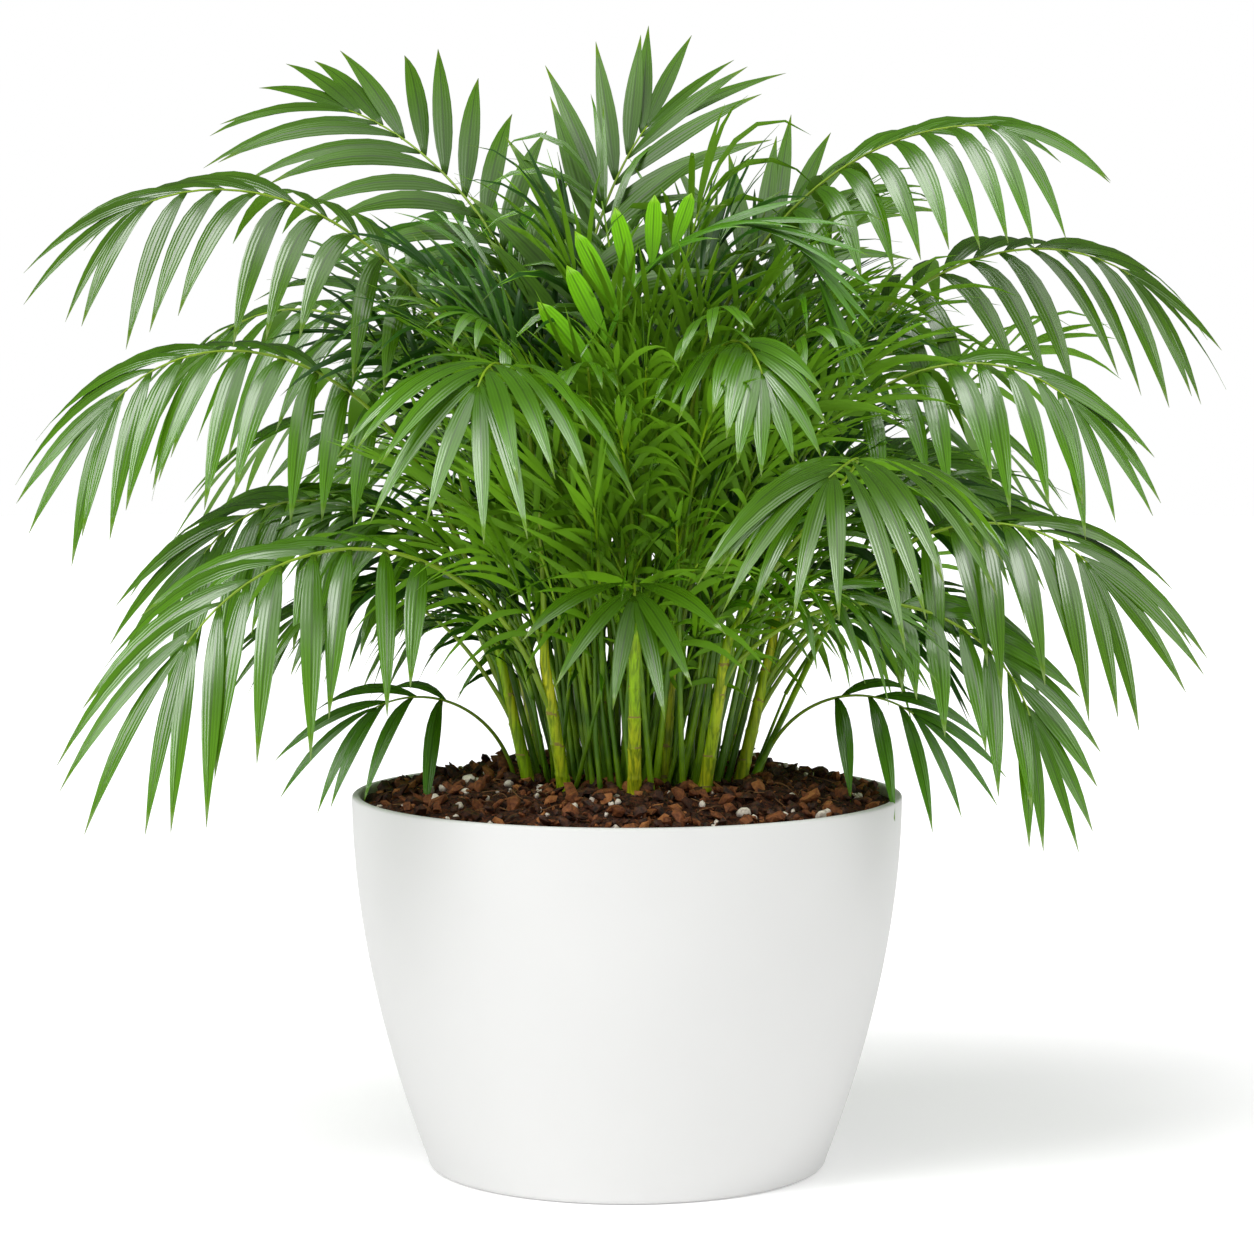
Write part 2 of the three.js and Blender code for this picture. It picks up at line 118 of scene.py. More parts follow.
# Rings of canes: name, radius, first turn, lean, and the canes' lengths
RINGS = [
    ("outer", 58, -90, 13, [82, 84, 78, 74, 80, 86, 80, 76, 72]),
    ("inner", 31, 0, 6.5, [108] * 6),
    ("middle", 0, 20, 1.5, [118]),
]
SLOT_DROP = 14
CANE_SAMPLES = 40
GOLDEN_TURN = 137.508
SHEATH_REACH = 28
RING_HALF = 0.8
SCAR_HALF = 0.6

# Frond ribs
RIB_FOOT = 2
RIB_CREST = 0.5
RIB_SAMPLES = 120
RIB_CLEAR = 4.6
SIDESTEP = 5
SIDESTEPS = 15
RIB_ROWS = 34
RIB_SIDES = 8
FOOT_IN_STEM = 16
BEND_IN_STEM = 4
BEND_ROWS = 6

# How leaflets stand on a rib, and how they leave it and droop
SPACING = 0.92
SIDES_APART = 0.16
LONGEST_AT = 0.7
FOOT_SHORTER = 0.24
END_SHORTER = 0.1
FORWARD_FOOT = 62
FORWARD_TURN = 35
VEE = 24
VEE_PER_DROOP = 7
BLIND_TILT = 10
DROOP_FOOT = 1.15
DROOP_LOSS = 0.45
SAG_POWER = 0.9
TIP_POWER = 1.2
END_NARROWER = 0.25
LEAF_NARROWEST = 0.6
UPRIGHT_SPREAD = 0.78
LAST_PAIR = 0.5
LEAF_ROWS = 9
INNER_LEAF_ROWS = 6
ROWS_CLOSER = 1.15
LEAF_TWIST = 26
FACING_SPAN = 0.6
# painted reflection: blue green mixed into the foot of each leaflet for the sky seen in its gloss
FOOT_SHEEN = "#2e6a30"
LEAF_TIP = "#9ab82c"

# Finer fronds inside the crown, on canes and on shoots, which are looser and have narrower leaflets. Pairs
# are a middle value and its scatter here too.
INNER_SPREAD = 0.72
INNER_LOOSE = 3.4
FILL_AT = (0.78, 0.2)
FILL_PAIRS = 8
FILL_BROAD = 0.4
FILL_ROLL = 55
FILL_DROOP = (1, 0.5)
SHOOT_FROND_LENGTH = (120, 40)
SHOOT_FROND_SHAPE = {"bend": 1.7, "swing": 0, "bare": 0.32}
SHOOT_LEAF = (66, 14)
SHOOT_DROOP = (0.7, 0.6)
SHOOT_BROAD = 0.33
SHOOT_ROLL = 75
# shade is a darker copy of the green that paints the shade inside the crown
SHOOT_TINTS = ("fresh", "shade", "shade", "mid", "shade")
SECOND_FROND_AT = (0.55, 0.2)

# Fronds face the light at the front: leaflets on the far side stand higher, further forward and straighter
LEAN = 34
FAR_STRAIGHTER = 0.3
FAR_FORWARD = 0.15
FAN_LEAN = 0.35
SHOOT_LEAN = 0.2

# The newest frond: low on its far side the leaflets are open, broad and blunt, and the others still closed.
# Forward, point and droop are given for closed and open ones. An open one's breadth and length are the first
# number, plus the second for each share of the way along.
OPEN_TO = 0.5
OPEN_VEE = 90
OPEN_FORWARD = (0.15, 1.15)
OPEN_POINT = (TIP_POWER, 0.55)
OPEN_DROOP = (0.75, 0.12)
CLOSED_BROAD = 0.42
OPEN_BROAD = (1.12, -0.85)
OPEN_LENGTH = (1.1, -1.3)

# Fronds that show: name, cane, turn, length, rise at the foot, fall at the end, bend, sideways swing,
# bare share of the rib, pairs of leaflets, their length, their droop, and the tint
SHOWN = [
    ("left_top", "inner_3", 158, 334, 84, 16, 1.5, -18, 0.42, 10, 100, 0.8, "light"),
    ("back_top", "inner_4", 56, 276, 88, 38, 1.8, 0, 0.42, 8, 96, 0.4, "light"),
    ("right_top", "inner_2", -4, 342, 88, -4, 1.7, -16, 0.5, 10, 84, 2.4, "mid"),
    ("left_high", "inner_4", 190, 352, 75, -24, 2.2, 0, 0.5, 9, 92, 2.2, "deep"),
    ("left_mid", "outer_8", 198, 300, 71, -48, 2, 0, 0.42, 9, 96, 2.4, "mid"),
    ("front_left", "outer_9", 254, 244, 88, -36, 2, 4, 0.5, 8, 104, 1.6, "mid"),
    ("left_low", "outer_9", 212, 252, 67, -52, 1.05, 0, 0.34, 8, 114, 2.2, "mid"),
    ("front_right", "outer_2", 340, 235, 57, -20, 1.4, -100, 0.45, 9, 112, 1.7, "deep"),
    ("right_high", "inner_1", 10, 326, 65, -32, 2.2, 0, 0.5, 9, 94, 2.2, "deep"),
    ("right_mid", "inner_1", -16, 262, 66, -42, 2, 0, 0.5, 8, 84, 2.5, "mid"),
    ("right_inner", "outer_3", 14, 176, 78, -45, 1.8, 0, 0.5, 7, 84, 2, "mid"),
    ("right_low", "outer_3", -26, 212, 51, -42, 1.9, 0, 0.42, 8, 102, 2.3, "deep"),
    ("right_lowest", "outer_2", -16, 194, 45, -72, 1.2, 0, 0.45, 6, 80, 1.8, "mid"),
    ("front_small", "outer_1", 270, 72, 85, -35, 1.2, 0, 0.42, 3, 92, 0.9, "deep"),
    ("young", "inner_5", -20, 290, 92, -70, 2.6, 0, 0.34, 12, 68, 0.8, "young"),
    ("front_high", "inner_6", -70, 215, 82, -50, 2.2, 0, 0.66, 5, 62, 1.8, "mid"),
    ("left_back", "outer_7", 158, 308, 82, -42, 1.8, 0, 0.5, 9, 98, 2.4, "mid"),
    ("left_inner", "outer_8", 186, 212, 70, -56, 1.6, 0, 0.45, 9, 95, 2.2, "mid"),
    ("back_high", "outer_5", 42, 258, 88, 34, 1.8, 0, 0.5, 8, 94, 0.6, "light"),
    ("right_back", "inner_2", 38, 275, 82, -28, 1.9, 0, 0.5, 9, 92, 2, "fresh"),
    ("back_left", "outer_6", 125, 300, 84, 0, 1.9, 0, 0.5, 9, 92, 1, "fresh"),
]
# Suckers at the soil: the same numbers, with a place on the mix instead of a cane
SUCKERS = [
    ("sucker_right", (72, 6), -18, 112, 76, -34, 1.1, 0, 0.5, 3, 74, 2.2, "fresh"),
    ("sucker_left", (-62, 14), 194, 100, 76, -26, 1.1, 0, 0.5, 3, 76, 2.1, "fresh"),
]
SIZES = ("turn", "length", "rise", "fall", "bend", "swing", "bare", "pairs", "leaf", "droop", "tint")

# Roughness and specular level of each tint of leaflet
LEAF_SHINE = {
    "deep": (0.25, 0.9),
    "mid": (0.25, 0.9),
    "fresh": (0.27, 0.85),
    "shade": (0.3, 0.4),
    "light": (0.4, 0.45),
    "young": (0.45, 0.25),
}

# Grown fronds: breadth of the leaflets, roll about the rib, share of the full spread, looseness, and how
# far the faces of the leaflets turn to the front
GROWN = {"broad": 1, "roll": 0, "spread": 1, "loose": 1.5, "facing": 0.7}
SUCKER_BROAD = 0.75

# Fans of fronds by rule: name, ring, count, from, to, length, rise, fall, leaflet length, droop, tint
FANS = [
    ("back", "outer", 6, 48, 138, 255, 70, -38, 96, 1.4, "mid"),
    ("front", "inner", 4, 222, 318, 186, 78, 32, 42, 2.4, "mid"),
    ("heart", "inner", 4, 60, 310, 205, 82, 42, 50, 1.4, "deep"),
    ("low", "outer", 5, -14, 194, 138, 60, -45, 66, 1.4, "deep"),
]
FAN_SHAPE = {"bend": 1.8, "swing": 0, "bare": 0.45, "pairs": 6, "lean": FAN_LEAN, **GROWN, "broad": 0.66}
FAN_SCATTER = {"turn": 5, "length": 0.08, "rise": 3, "fall": 8}

# Finer fronds inside the same crown, which the solids leave out, with the same sizes
FILLS = [
    ("crown", "inner", 8, 20, 165, 200, 86, 50, 80, 1, "light"),
    ("core", "middle", 7, -30, 196, 205, 87, 64, 84, 1.3, "mid"),
    ("nest", "inner", 11, -50, 208, 165, 84, 40, 78, 1.3, "fresh"),
    ("mantle", "outer", 11, -22, 192, 155, 77, -4, 70, 1.4, "mid"),
    ("skirt", "outer", 5, -20, 196, 96, 60, -36, 58, 1.4, "deep"),
    ("side", "outer", 3, -32, 22, 100, 58, -38, 60, 1.4, "mid"),
]

# Studio: floor and camera in metres and degrees, then each light's side of the sky and its width in degrees
FLOOR_RADIUS = 7
FLOOR_SIDES = 96
CAMERA_AT = (0, -2.08, 0.4623)
CAMERA_PITCH = 4.61
SENSOR = 36
CAMERA_REACH = 50
LIGHTS = [
    ("key", (-0.45, -0.6, 1.3), 32),
    ("side", (-0.9, -0.6, 0.75), 28),
    ("fill", (0.9, -0.4, 0.5), 28),
    ("top", (0.4, -0.25, 1), 50),
]


def srgb(code):
    """A linear colour from an sRGB hex value: each channel over 12.92 where dark, else a power of 2.4."""
    channels = [int(code[i:i + 2], 16) / 255 for i in (1, 3, 5)]
    return tuple(c / 12.92 if c <= 0.04045 else ((c + 0.055) / 1.055) ** 2.4 for c in channels)


def colour_property(name, description, code):
    """A colour, with its default from an sRGB hex value."""
    return FloatVectorProperty(
        name=name, description=description, subtype="COLOR", size=3, min=0, max=1, default=srgb(code)
    )


def length_property(name, description, millimetres):
    """A length in metres, with its default in millimetres."""
    return FloatProperty(name=name, description=description, unit="LENGTH", min=0, default=millimetres * MM)


class PlanterSizes(bpy.types.PropertyGroup):
    rim: FloatProperty(
        name="Rim radius", description="Outer radius at the lip", unit="LENGTH", default=POT_HIGH.x
    )
    height: FloatProperty(
        name="Height", description="From the floor to the lip", unit="LENGTH", default=POT_HIGH.z
    )
    base: length_property("Base radius", "Outer radius that the belly narrows to", 108)
    wall: length_property("Wall", "Thickness of the wall", 4.6)
    white: colour_property("White", "Colour of the moulding", "#dadad9")


class MixSizes(bpy.types.PropertyGroup):
    chips: IntProperty(name="Bark chips", description="How many large chips lie on top", default=1150)
    crumbs: IntProperty(name="Crumbs", description="How many small pieces lie between them", default=2600)
    grains: IntProperty(name="Perlite grains", description="How many pale grains lie on top", default=170)
    strands: IntProperty(name="Fibres", description="How many loose fibres lie on top", default=110)
    chip: length_property("Chip length", "Length of a middling chip", 8.6)
    dark: colour_property("Dark", "Damp peat between the chips", "#1e0f08")
    brown: colour_property("Brown", "Wet bark", "#5c3016")
    red: colour_property("Red brown", "Inner bark, freshly broken", "#93562a")
    pale: colour_property("Perlite", "Expanded glass grains", "#eee2d4")
    fibre: colour_property("Fibre", "Loose coir", "#a07a50")


class CaneSizes(bpy.types.PropertyGroup):
    gap: length_property("Ring gap", "Distance between the rings on a cane", 17)
    ridge: length_property("Ring height", "How far a ring stands out", 0.34)
    shoots: IntProperty(name="Shoots", description="Thin stems between the canes", default=130)
    green: colour_property("Green", "Skin of a living cane", "#98c40a")
    yellow: colour_property("Yellow", "Skin of an old cane", "#d6cc20")
    scar: colour_property("Scar", "Dry edge of a fallen sheath", "#7d7034")
    # painted shade: the thin stems' skin is darker for the shade inside the clump
    shoot: colour_property("Shoot", "Skin of the thin stems in the shade", "#4e7a08")


class FrondSizes(bpy.types.PropertyGroup):
    denser: FloatProperty(name="Density", description="Leaflet pairs for each pair listed", default=1.0)
    width: length_property("Leaflet width", "Across the widest place", 12.6)
    thick: length_property("Leaflet thickness", "At the middle rib", 0.6)
    fold: FloatProperty(name="Fold", description="Drop of the edges over the half width", default=0.15)
    rib_foot: length_property("Stalk radius", "At the foot of the largest frond", 1.9)
    rib_tip: length_property("Rib radius", "At the end of a frond", 0.55)
    rib: colour_property("Stalk", "Skin of stalks and ribs", "#82a41a")
    deep: colour_property("Deep green", "Grown fronds in front", "#446e06")
    mid: colour_property("Middle green", "Most fronds", "#4a7b04")
    fresh: colour_property("Fresh green", "Fronds inside the crown", "#467e02")
    # painted shade: a darker tint for leaflets inside the crown, where shade falls
    shade: colour_property("Shade green", "Old fronds inside the crown", "#1f4c02")
    light: colour_property("Light green", "Thin fronds at the back with light through them", "#426c04")
    young: colour_property("Young green", "The newest frond", "#6eb400")
    under: colour_property("Underside", "Lower face of a leaflet", "#6ca404")


class StudioSizes(bpy.types.PropertyGroup):
    lens: FloatProperty(name="Lens", description="Focal length of the camera", unit="CAMERA", default=110.0)
    card: colour_property("Floor", "Matt white card", "#f2f2f2")
    # painted light: the floor's emission lifts its shade, though the floor is no lamp
    painted_glow: FloatProperty(name="Glow", description="Light that comes up through the table", default=0.19)
    sky: FloatProperty(name="Surround", description="Strength of the light all round", default=0.33)
    cloths: FloatProperty(name="Cloths", description="Strength of the room as gloss sees it", default=0.08)
    key: FloatProperty(name="Key light", description="Broad light from the front, upper left", default=1.75)
    side: FloatProperty(name="Side light", description="Softbox low on the left", default=1.08)
    fill: FloatProperty(name="Fill light", description="Weaker softbox low on the right", default=0.52)
    top: FloatProperty(name="Top light", description="Broad light overhead, to the right", default=0.95)


# Small sums

def lerp(a, b, share):
    """The value a share of the way from a to b."""
    return a + (b - a) * share


def about(pair, scatter):
    """The first number of a pair, plus the second times a scatter between -1 and 1."""
    return pair[0] + pair[1] * scatter


def unit(v):
    """Vectors of length 1 along the last axis."""
    return v / np.linalg.norm(v, axis=-1, keepdims=True)


def wobble(a, b):
    """A repeatable scatter between -1 and 1: twice the fraction of 0.754877 a + 0.56984 b, less 1."""
    return 2 * np.mod(a * 0.754877 + b * 0.56984, 1) - 1


def outward(turn):
    """The level direction at a turn in radians: (cos turn, sin turn, 0)."""
    return np.stack([np.cos(turn), np.sin(turn), np.zeros_like(turn)], axis=-1)


# Meshes and materials

def grid_faces(rows, columns):
    """Quads between neighbouring rings of points, counterclockwise from outside."""
    row = np.arange(rows - 1)[:, None] * columns
    column = np.arange(columns)[None, :]
    ahead = (column + 1) % columns
    quads = [row + column, row + ahead, row + ahead + columns, row + column + columns]
    return np.stack(quads, -1).reshape(-1, 4)


def lids(rows, columns):
    """The two faces that close such a stack of rings, below and above."""
    ring = np.arange(columns)[None]
    return ring[:, ::-1], ring + (rows - 1) * columns


def many(faces, count, size):
    """The same faces for each of count equal shapes of size points."""
    return (faces[None] + (np.arange(count) * size)[:, None, None]).reshape(-1, faces.shape[1])


def add_piece(name, points, faces, materials, uv=None, crease=None, smooth=True):
    """A mesh object from points in millimetres and a list of (corners, material numbers).

    Edges whose two ends carry the same crease number above 0 are sharp.
    """
    corners = np.concatenate([np.asarray(f).ravel() for f, _ in faces])
    counts = np.concatenate([np.full(len(f), np.shape(f)[1]) for f, _ in faces])
    numbers = np.concatenate([np.broadcast_to(number, len(f)) for f, number in faces])
    mesh = bpy.data.meshes.new(name)
    mesh.vertices.add(len(points))
    mesh.vertices.foreach_set("co", (points * MM).ravel())
    mesh.loops.add(len(corners))
    mesh.loops.foreach_set("vertex_index", corners.astype(np.int32))
    mesh.polygons.add(len(counts))
    mesh.polygons.foreach_set("loop_start", (np.cumsum(counts) - counts).astype(np.int32))
    mesh.polygons.foreach_set("material_index", numbers.astype(np.int32))
    mesh.polygons.foreach_set("use_smooth", np.full(len(counts), smooth))
    mesh.update(calc_edges=True)
    if uv is not None:
        layer = mesh.uv_layers.new(name="blade")
        layer.uv.foreach_set("vector", uv[corners].astype(np.float32).ravel())
    if crease is not None:
        ends = np.zeros(len(mesh.edges) * 2, np.int32)
        mesh.edges.foreach_get("vertices", ends)
        first, second = crease[ends[0::2]], crease[ends[1::2]]
        sharp = mesh.attributes.new("sharp_edge", "BOOLEAN", "EDGE")
        sharp.data.foreach_set("value", (first == second) & (first > 0))
    for material in materials:
        mesh.materials.append(material)
    if mesh.validate():
        raise RuntimeError(f"{name} has faulty faces")
    piece = bpy.data.objects.new(name, mesh)
    bpy.context.scene.collection.objects.link(piece)
    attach(piece, ROOT)
    return piece


def node(tree, kind, inputs=None, **settings):
    """Adds a shader node with its settings. An input that is given a socket is linked, and a value is set."""
    made = tree.nodes.new("ShaderNode" + kind)
    for key, value in settings.items():
        setattr(made, key, value)
    for key, value in (inputs or {}).items():
        if isinstance(value, bpy.types.NodeSocket):
            tree.links.new(value, made.inputs[key])
        else:
            made.inputs[key].default_value = value
    return made


def finish_material(name, colour, roughness, ior):
    """A material with one Principled shader. Returns the material, its tree and the shader."""
    made = bpy.data.materials.new(name)
    made.use_nodes = True
    shader = made.node_tree.nodes["Principled BSDF"]
    shader.inputs["Base Color"].default_value = (*colour, 1)
    shader.inputs["Roughness"].default_value = roughness
    shader.inputs["IOR"].default_value = ior
    return made, made.node_tree, shader


def noise(tree, grain, detail=3, stretch=(1, 1, 1)):
    """Noise on Object coordinates with a grain size in millimetres, stretched along the axes."""
    place = node(tree, "TexCoord").outputs["Object"]
    turned = node(tree, "Mapping", {"Vector": place, "Scale": stretch}).outputs["Vector"]
    given = {"Vector": turned, "Scale": 1 / (grain * MM), "Detail": detail}
    return node(tree, "TexNoise", given).outputs["Fac"]


def mixed(tree, share, first, second):
    """A colour between two, by a socket or a number."""
    given = {0: share}
    for key, value in ((6, first), (7, second)):
        given[key] = value if isinstance(value, bpy.types.NodeSocket) else (*value, 1)
    return node(tree, "Mix", given, data_type="RGBA").outputs[2]


def between(tree, value, low, high, to_low=0.0, to_high=1.0):
    """A number taken from the span low to high over to another span, and held there."""
    given = {"Value": value, "From Min": low, "From Max": high, "To Min": to_low, "To Max": to_high}
    return node(tree, "MapRange", given).outputs["Result"]


def roughen(tree, shader, height, strength, depth):
    """Bump from a height pattern, with its depth in millimetres."""
    given = {"Height": height, "Strength": strength, "Distance": depth * MM}
    bump = node(tree, "Bump", given)
    tree.links.new(bump.outputs["Normal"], shader.inputs["Normal"])


def paint(tree, shader, colour):
    """Links a colour to the shader's base colour."""
    tree.links.new(colour, shader.inputs["Base Color"])


def satin_plastic(sizes):
    # Polypropylene, injection moulded in a lightly etched mould: an even white with a soft, wide sheen
    made, tree, shader = finish_material("moulded satin polypropylene", sizes.white, 0.5, 1.49)
    shader.inputs["Specular IOR Level"].default_value = 0.15
    shade = tuple(0.965 * c for c in sizes.white)
    paint(tree, shader, mixed(tree, noise(tree, 60, 2), sizes.white, shade))
    # the etched grain is about 0.3 mm on the real thing, drawn at 1.2 mm so that it shows
    roughen(tree, shader, noise(tree, 1.2, 2), 0.08, 0.05)
    return made


def peat(sizes):
    # Damp peat and fines: almost black, matt, with crumbs of a millimetre or two
    made, tree, shader = finish_material("damp peat", sizes.dark, 0.92, 1.4)
    paint(tree, shader, mixed(tree, between(tree, noise(tree, 2.5, 6), 0.4, 0.65), sizes.dark, sizes.brown))
    roughen(tree, shader, noise(tree, 1.6, 6), 1.0, 1.5)
    return made


def bark(name, dark, light, gloss):
    # Composted pine bark, broken and sieved: fibrous, darker where damp, with a faint wet shine
    made, tree, shader = finish_material(name, dark, gloss, 1.45)
    paint(tree, shader, mixed(tree, between(tree, noise(tree, 2.2, 5), 0.35, 0.7), dark, light))
    roughen(tree, shader, noise(tree, 0.9, 4, (1, 1, 3)), 0.8, 0.5)
    return made


def perlite(sizes):
    # Expanded volcanic glass: chalky off-white grains with pits, stained by the mix
    made, tree, shader = finish_material("expanded perlite", sizes.pale, 0.85, 1.5)
    stain = mixed(tree, 0.55, sizes.pale, sizes.brown)
    paint(tree, shader, mixed(tree, between(tree, noise(tree, 2.4, 4), 0.48, 0.75), sizes.pale, stain))
    roughen(tree, shader, noise(tree, 0.8, 3), 0.9, 0.5)
    return made


def coir(sizes):
    # Coconut fibre, dry: dull straw brown
    made, tree, shader = finish_material("loose coir fibre", sizes.fibre, 0.8, 1.4)
    paint(tree, shader, mixed(tree, noise(tree, 5), sizes.fibre, sizes.brown))
    return made


def cane_skin(sizes):
    # Living cane: waxy yellow green with faint upright streaks and old yellow patches
    made, tree, shader = finish_material("living cane skin", sizes.green, 0.45, 1.35)
    patches = between(tree, noise(tree, 26, 3, (1, 1, 0.5)), 0.42, 0.62, 0, 0.7)
    streaks = noise(tree, 1.6, 3, (1, 1, 0.08))
    darker = tuple(0.35 * c for c in sizes.green)
    body = mixed(tree, patches, sizes.green, sizes.yellow)
    paint(tree, shader, mixed(tree, between(tree, streaks, 0.38, 0.6, 0.8, 0), body, darker))
    roughen(tree, shader, streaks, 0.35, 0.3)
    return made


def shoot_skin(sizes):
    # Thin green stems: smooth and waxy, in patches darker and yellower, with the darker colour a painted
    # shade for the stems inside the clump
    made, tree, shader = finish_material("shoot skin", sizes.shoot, 0.4, 1.45)
    patches = between(tree, noise(tree, 30, 3), 0.45, 0.75)
    paint(tree, shader, mixed(tree, patches, sizes.shoot, sizes.green))
    return made


def cane_scar(sizes):
    # The papery edge that a fallen sheath leaves: dry, matt and split
    made, tree, shader = finish_material("dry sheath scar", sizes.scar, 0.8, 1.4)
    pale = tuple(min(1, 1.9 * c) for c in sizes.scar)
    paint(tree, shader, mixed(tree, noise(tree, 2.2, 4), sizes.scar, pale))
    roughen(tree, shader, noise(tree, 0.9, 3), 0.7, 0.4)
    return made


def stalk_skin(sizes):
    # Frond stalk and rib: smooth, faintly waxy, yellower than the leaflets
    made, tree, shader = finish_material("frond stalk skin", sizes.rib, 0.4, 1.45)
    darker = tuple(0.7 * c for c in sizes.rib)
    paint(tree, shader, mixed(tree, between(tree, noise(tree, 22), 0.35, 0.7), sizes.rib, darker))
    return made


def leaf_skin(name, colour, gloss, shine):
    # Upper face of a leaflet: waxed cuticle over fine parallel veins, yellow at the very tip, with painted
    # shade in a darker crease down the middle and in darker valleys between the veins, a darker, bluer foot
    # near the rib as painted shade and painted sky reflection, and a brighter, more saturated outer half as
    # painted light shining through
    made, tree, shader = finish_material(name, colour, gloss, 1.5)
    shader.inputs["Specular IOR Level"].default_value = shine
    blade = node(tree, "UVMap", uv_map="blade").outputs["UV"]
    parts = node(tree, "SeparateXYZ", {"Vector": blade}).outputs
    off = node(tree, "Math", {0: parts["X"], 1: 0.5}, operation="SUBTRACT").outputs[0]
    away = node(tree, "Math", {0: off}, operation="ABSOLUTE").outputs[0]
    # painted shade: a thin band down the middle is darker, as shade in the middle crease
    middle = between(tree, away, 0.02, 0.075, 0.7, 0)
    # veins are about 0.7 mm apart on the real leaflet, drawn as pleats of 2.3 mm so that they show
    veins = node(tree, "TexWave", {"Vector": blade, "Scale": 1.88}, wave_profile="SIN").outputs["Fac"]
    # a darker copy of the colour, for random patches and for the painted shade in the vein valleys
    shade = tuple(0.6 * c for c in colour)
    groove_shade = tuple(0.4 * c for c in colour)
    # painted shade and painted reflection: near the rib the colour is darker and bluer
    foot = tuple(0.6 * c + 0.1 * b for c, b in zip(colour, srgb(FOOT_SHEEN)))
    # painted light: the outer half is brighter and more saturated, as light comes through the hanging blade
    lit_through = tuple(1.25 * c for c in colour)
    tip = tuple(0.5 * c + 0.5 * p for c, p in zip(colour, srgb(LEAF_TIP)))
    body = mixed(tree, between(tree, noise(tree, 34, 2), 0.35, 0.68, 0, 0.6), colour, shade)
    outer = mixed(tree, between(tree, parts["Y"], 0.4, 0.75), body, lit_through)
    foot_shade_sheen = mixed(tree, between(tree, parts["Y"], 0.05, 0.45, 0.8, 0), outer, foot)
    # painted shade: the valleys between the veins are darker, and the ridges keep the colour
    pleat_shaded = mixed(tree, between(tree, veins, 0, 1, 0.45, 0), foot_shade_sheen, shade)
    blade_tip = mixed(tree, between(tree, parts["Y"], 0.86, 1), pleat_shaded, tip)
    paint(tree, shader, mixed(tree, middle, blade_tip, groove_shade))
    roughen(tree, shader, veins, 0.4, 0.2)
    return made


def leaf_underside(sizes):
    # Lower face of a leaflet: no wax, so matt, and yellower from the light that comes through it
    made, tree, shader = finish_material("leaflet underside", sizes.under, 0.6, 1.4)
    darker = tuple(0.75 * c for c in sizes.under)
    paint(tree, shader, mixed(tree, noise(tree, 30, 2), sizes.under, darker))
    return made


def white_card(sizes):
    # Matt white acrylic of a photographer's table, whose emission is painted light that lifts the shade on
    # the floor and lights the pot from below
    made, tree, shader = finish_material("matt white acrylic", sizes.card, 0.9, 1.4)
    shader.inputs["Emission Color"].default_value = (1, 1, 1, 1)
    shader.inputs["Emission Strength"].default_value = sizes.painted_glow
    roughen(tree, shader, noise(tree, 2, 2), 0.05, 0.05)
    return made


# Surfaces

def pot_radius(sizes, z):
    """Outer radius at a height: the rim's, less (rim - base) times (1 - z / height) to a power, the belly."""
    rim, base, height = sizes.rim / MM, sizes.base / MM, sizes.height / MM
    return rim - (rim - base) * np.clip(1 - z / height, 0, 1) ** BELLY


def lathed(profile, sides):
    """A profile of (radius, height) turned about Z: (r cos a, r sin a, z)."""
    turn = np.linspace(0, 2 * np.pi, sides, endpoint=False)
    radius, height = np.asarray(profile).T
    ring = outward(turn)[None] * radius[:, None, None]
    return ring + height[:, None, None] * UP


def bend_of(radius, height, reach, start, end):
    """A quarter round of a profile about (radius, height), between two angles in degrees."""
    angle = np.radians(np.linspace(start, end, ROUND_ROWS))
    return np.stack([radius + reach * np.cos(angle), height + reach * np.sin(angle)], -1)


def tube(path, across, above, wide, high, sides):
    """Rings along a path: centre + wide cos(w) across + high sin(w) above, for w round the ring."""
    w = np.linspace(0, 2 * np.pi, sides, endpoint=False)
    level = np.cos(w)[:, None] * across[:, None] * np.reshape(wide, (-1, 1, 1))
    upright = np.sin(w)[:, None] * above[:, None] * np.reshape(high, (-1, 1, 1))
    return path[:, None] + level + upright


def mix_height(sizes, x, y, waves):
    """Height of the mix: level, then an even fall to the wall, plus plane waves and a heap like a bell."""
    radius = np.hypot(x, y)
    edge = pot_radius(sizes, SOIL_EDGE) - sizes.wall / MM
    fall = np.clip((radius - SOIL_LEVEL_RADIUS) / (edge - SOIL_LEVEL_RADIUS), 0, 1)
    bumps = sum(size * np.sin(x * kx + y * ky + start) for kx, ky, start, size in waves)
    away = ((x - HEAP_AT[0]) / HEAP_WIDE[0]) ** 2 + ((y - HEAP_AT[1]) / HEAP_WIDE[1]) ** 2
    return lerp(SOIL_TOP, SOIL_EDGE, fall) + bumps * lerp(1, 0.5, fall) + HEAP * np.exp(-away)


def mix_waves():
    """Plane waves with seeded headings and lengths, even in proportion, each as high as its length asks."""
    rng = np.random.default_rng(SEED)
    shortest, longest = WAVE_LENGTHS
    length = shortest * (longest / shortest) ** rng.random(MIX_WAVES)
    turn = rng.random(MIX_WAVES) * 2 * np.pi
    k = 2 * np.pi / length
    start = rng.random(MIX_WAVES) * 6.28
    return np.stack([k * np.cos(turn), k * np.sin(turn), start, length * WAVE_HEIGHT], -1)


# The clump's rule, as in the solids

def grow_canes():
    """Rings of leaning canes, each from its foot on the circle of its ring, clear of the mix."""
    canes = {}
    for ring, radius, first, lean, lengths in RINGS:
        for i, length in enumerate(lengths):
            turn = math.radians(first + 360 / len(lengths) * i)
            foot = CLUMP + radius * outward(turn) + (SOIL_TOP + FIT) * UP
            canes[f"{ring}_{i + 1}"] = new_cane(foot, turn, lean, length, CANE_RADII)
    return canes


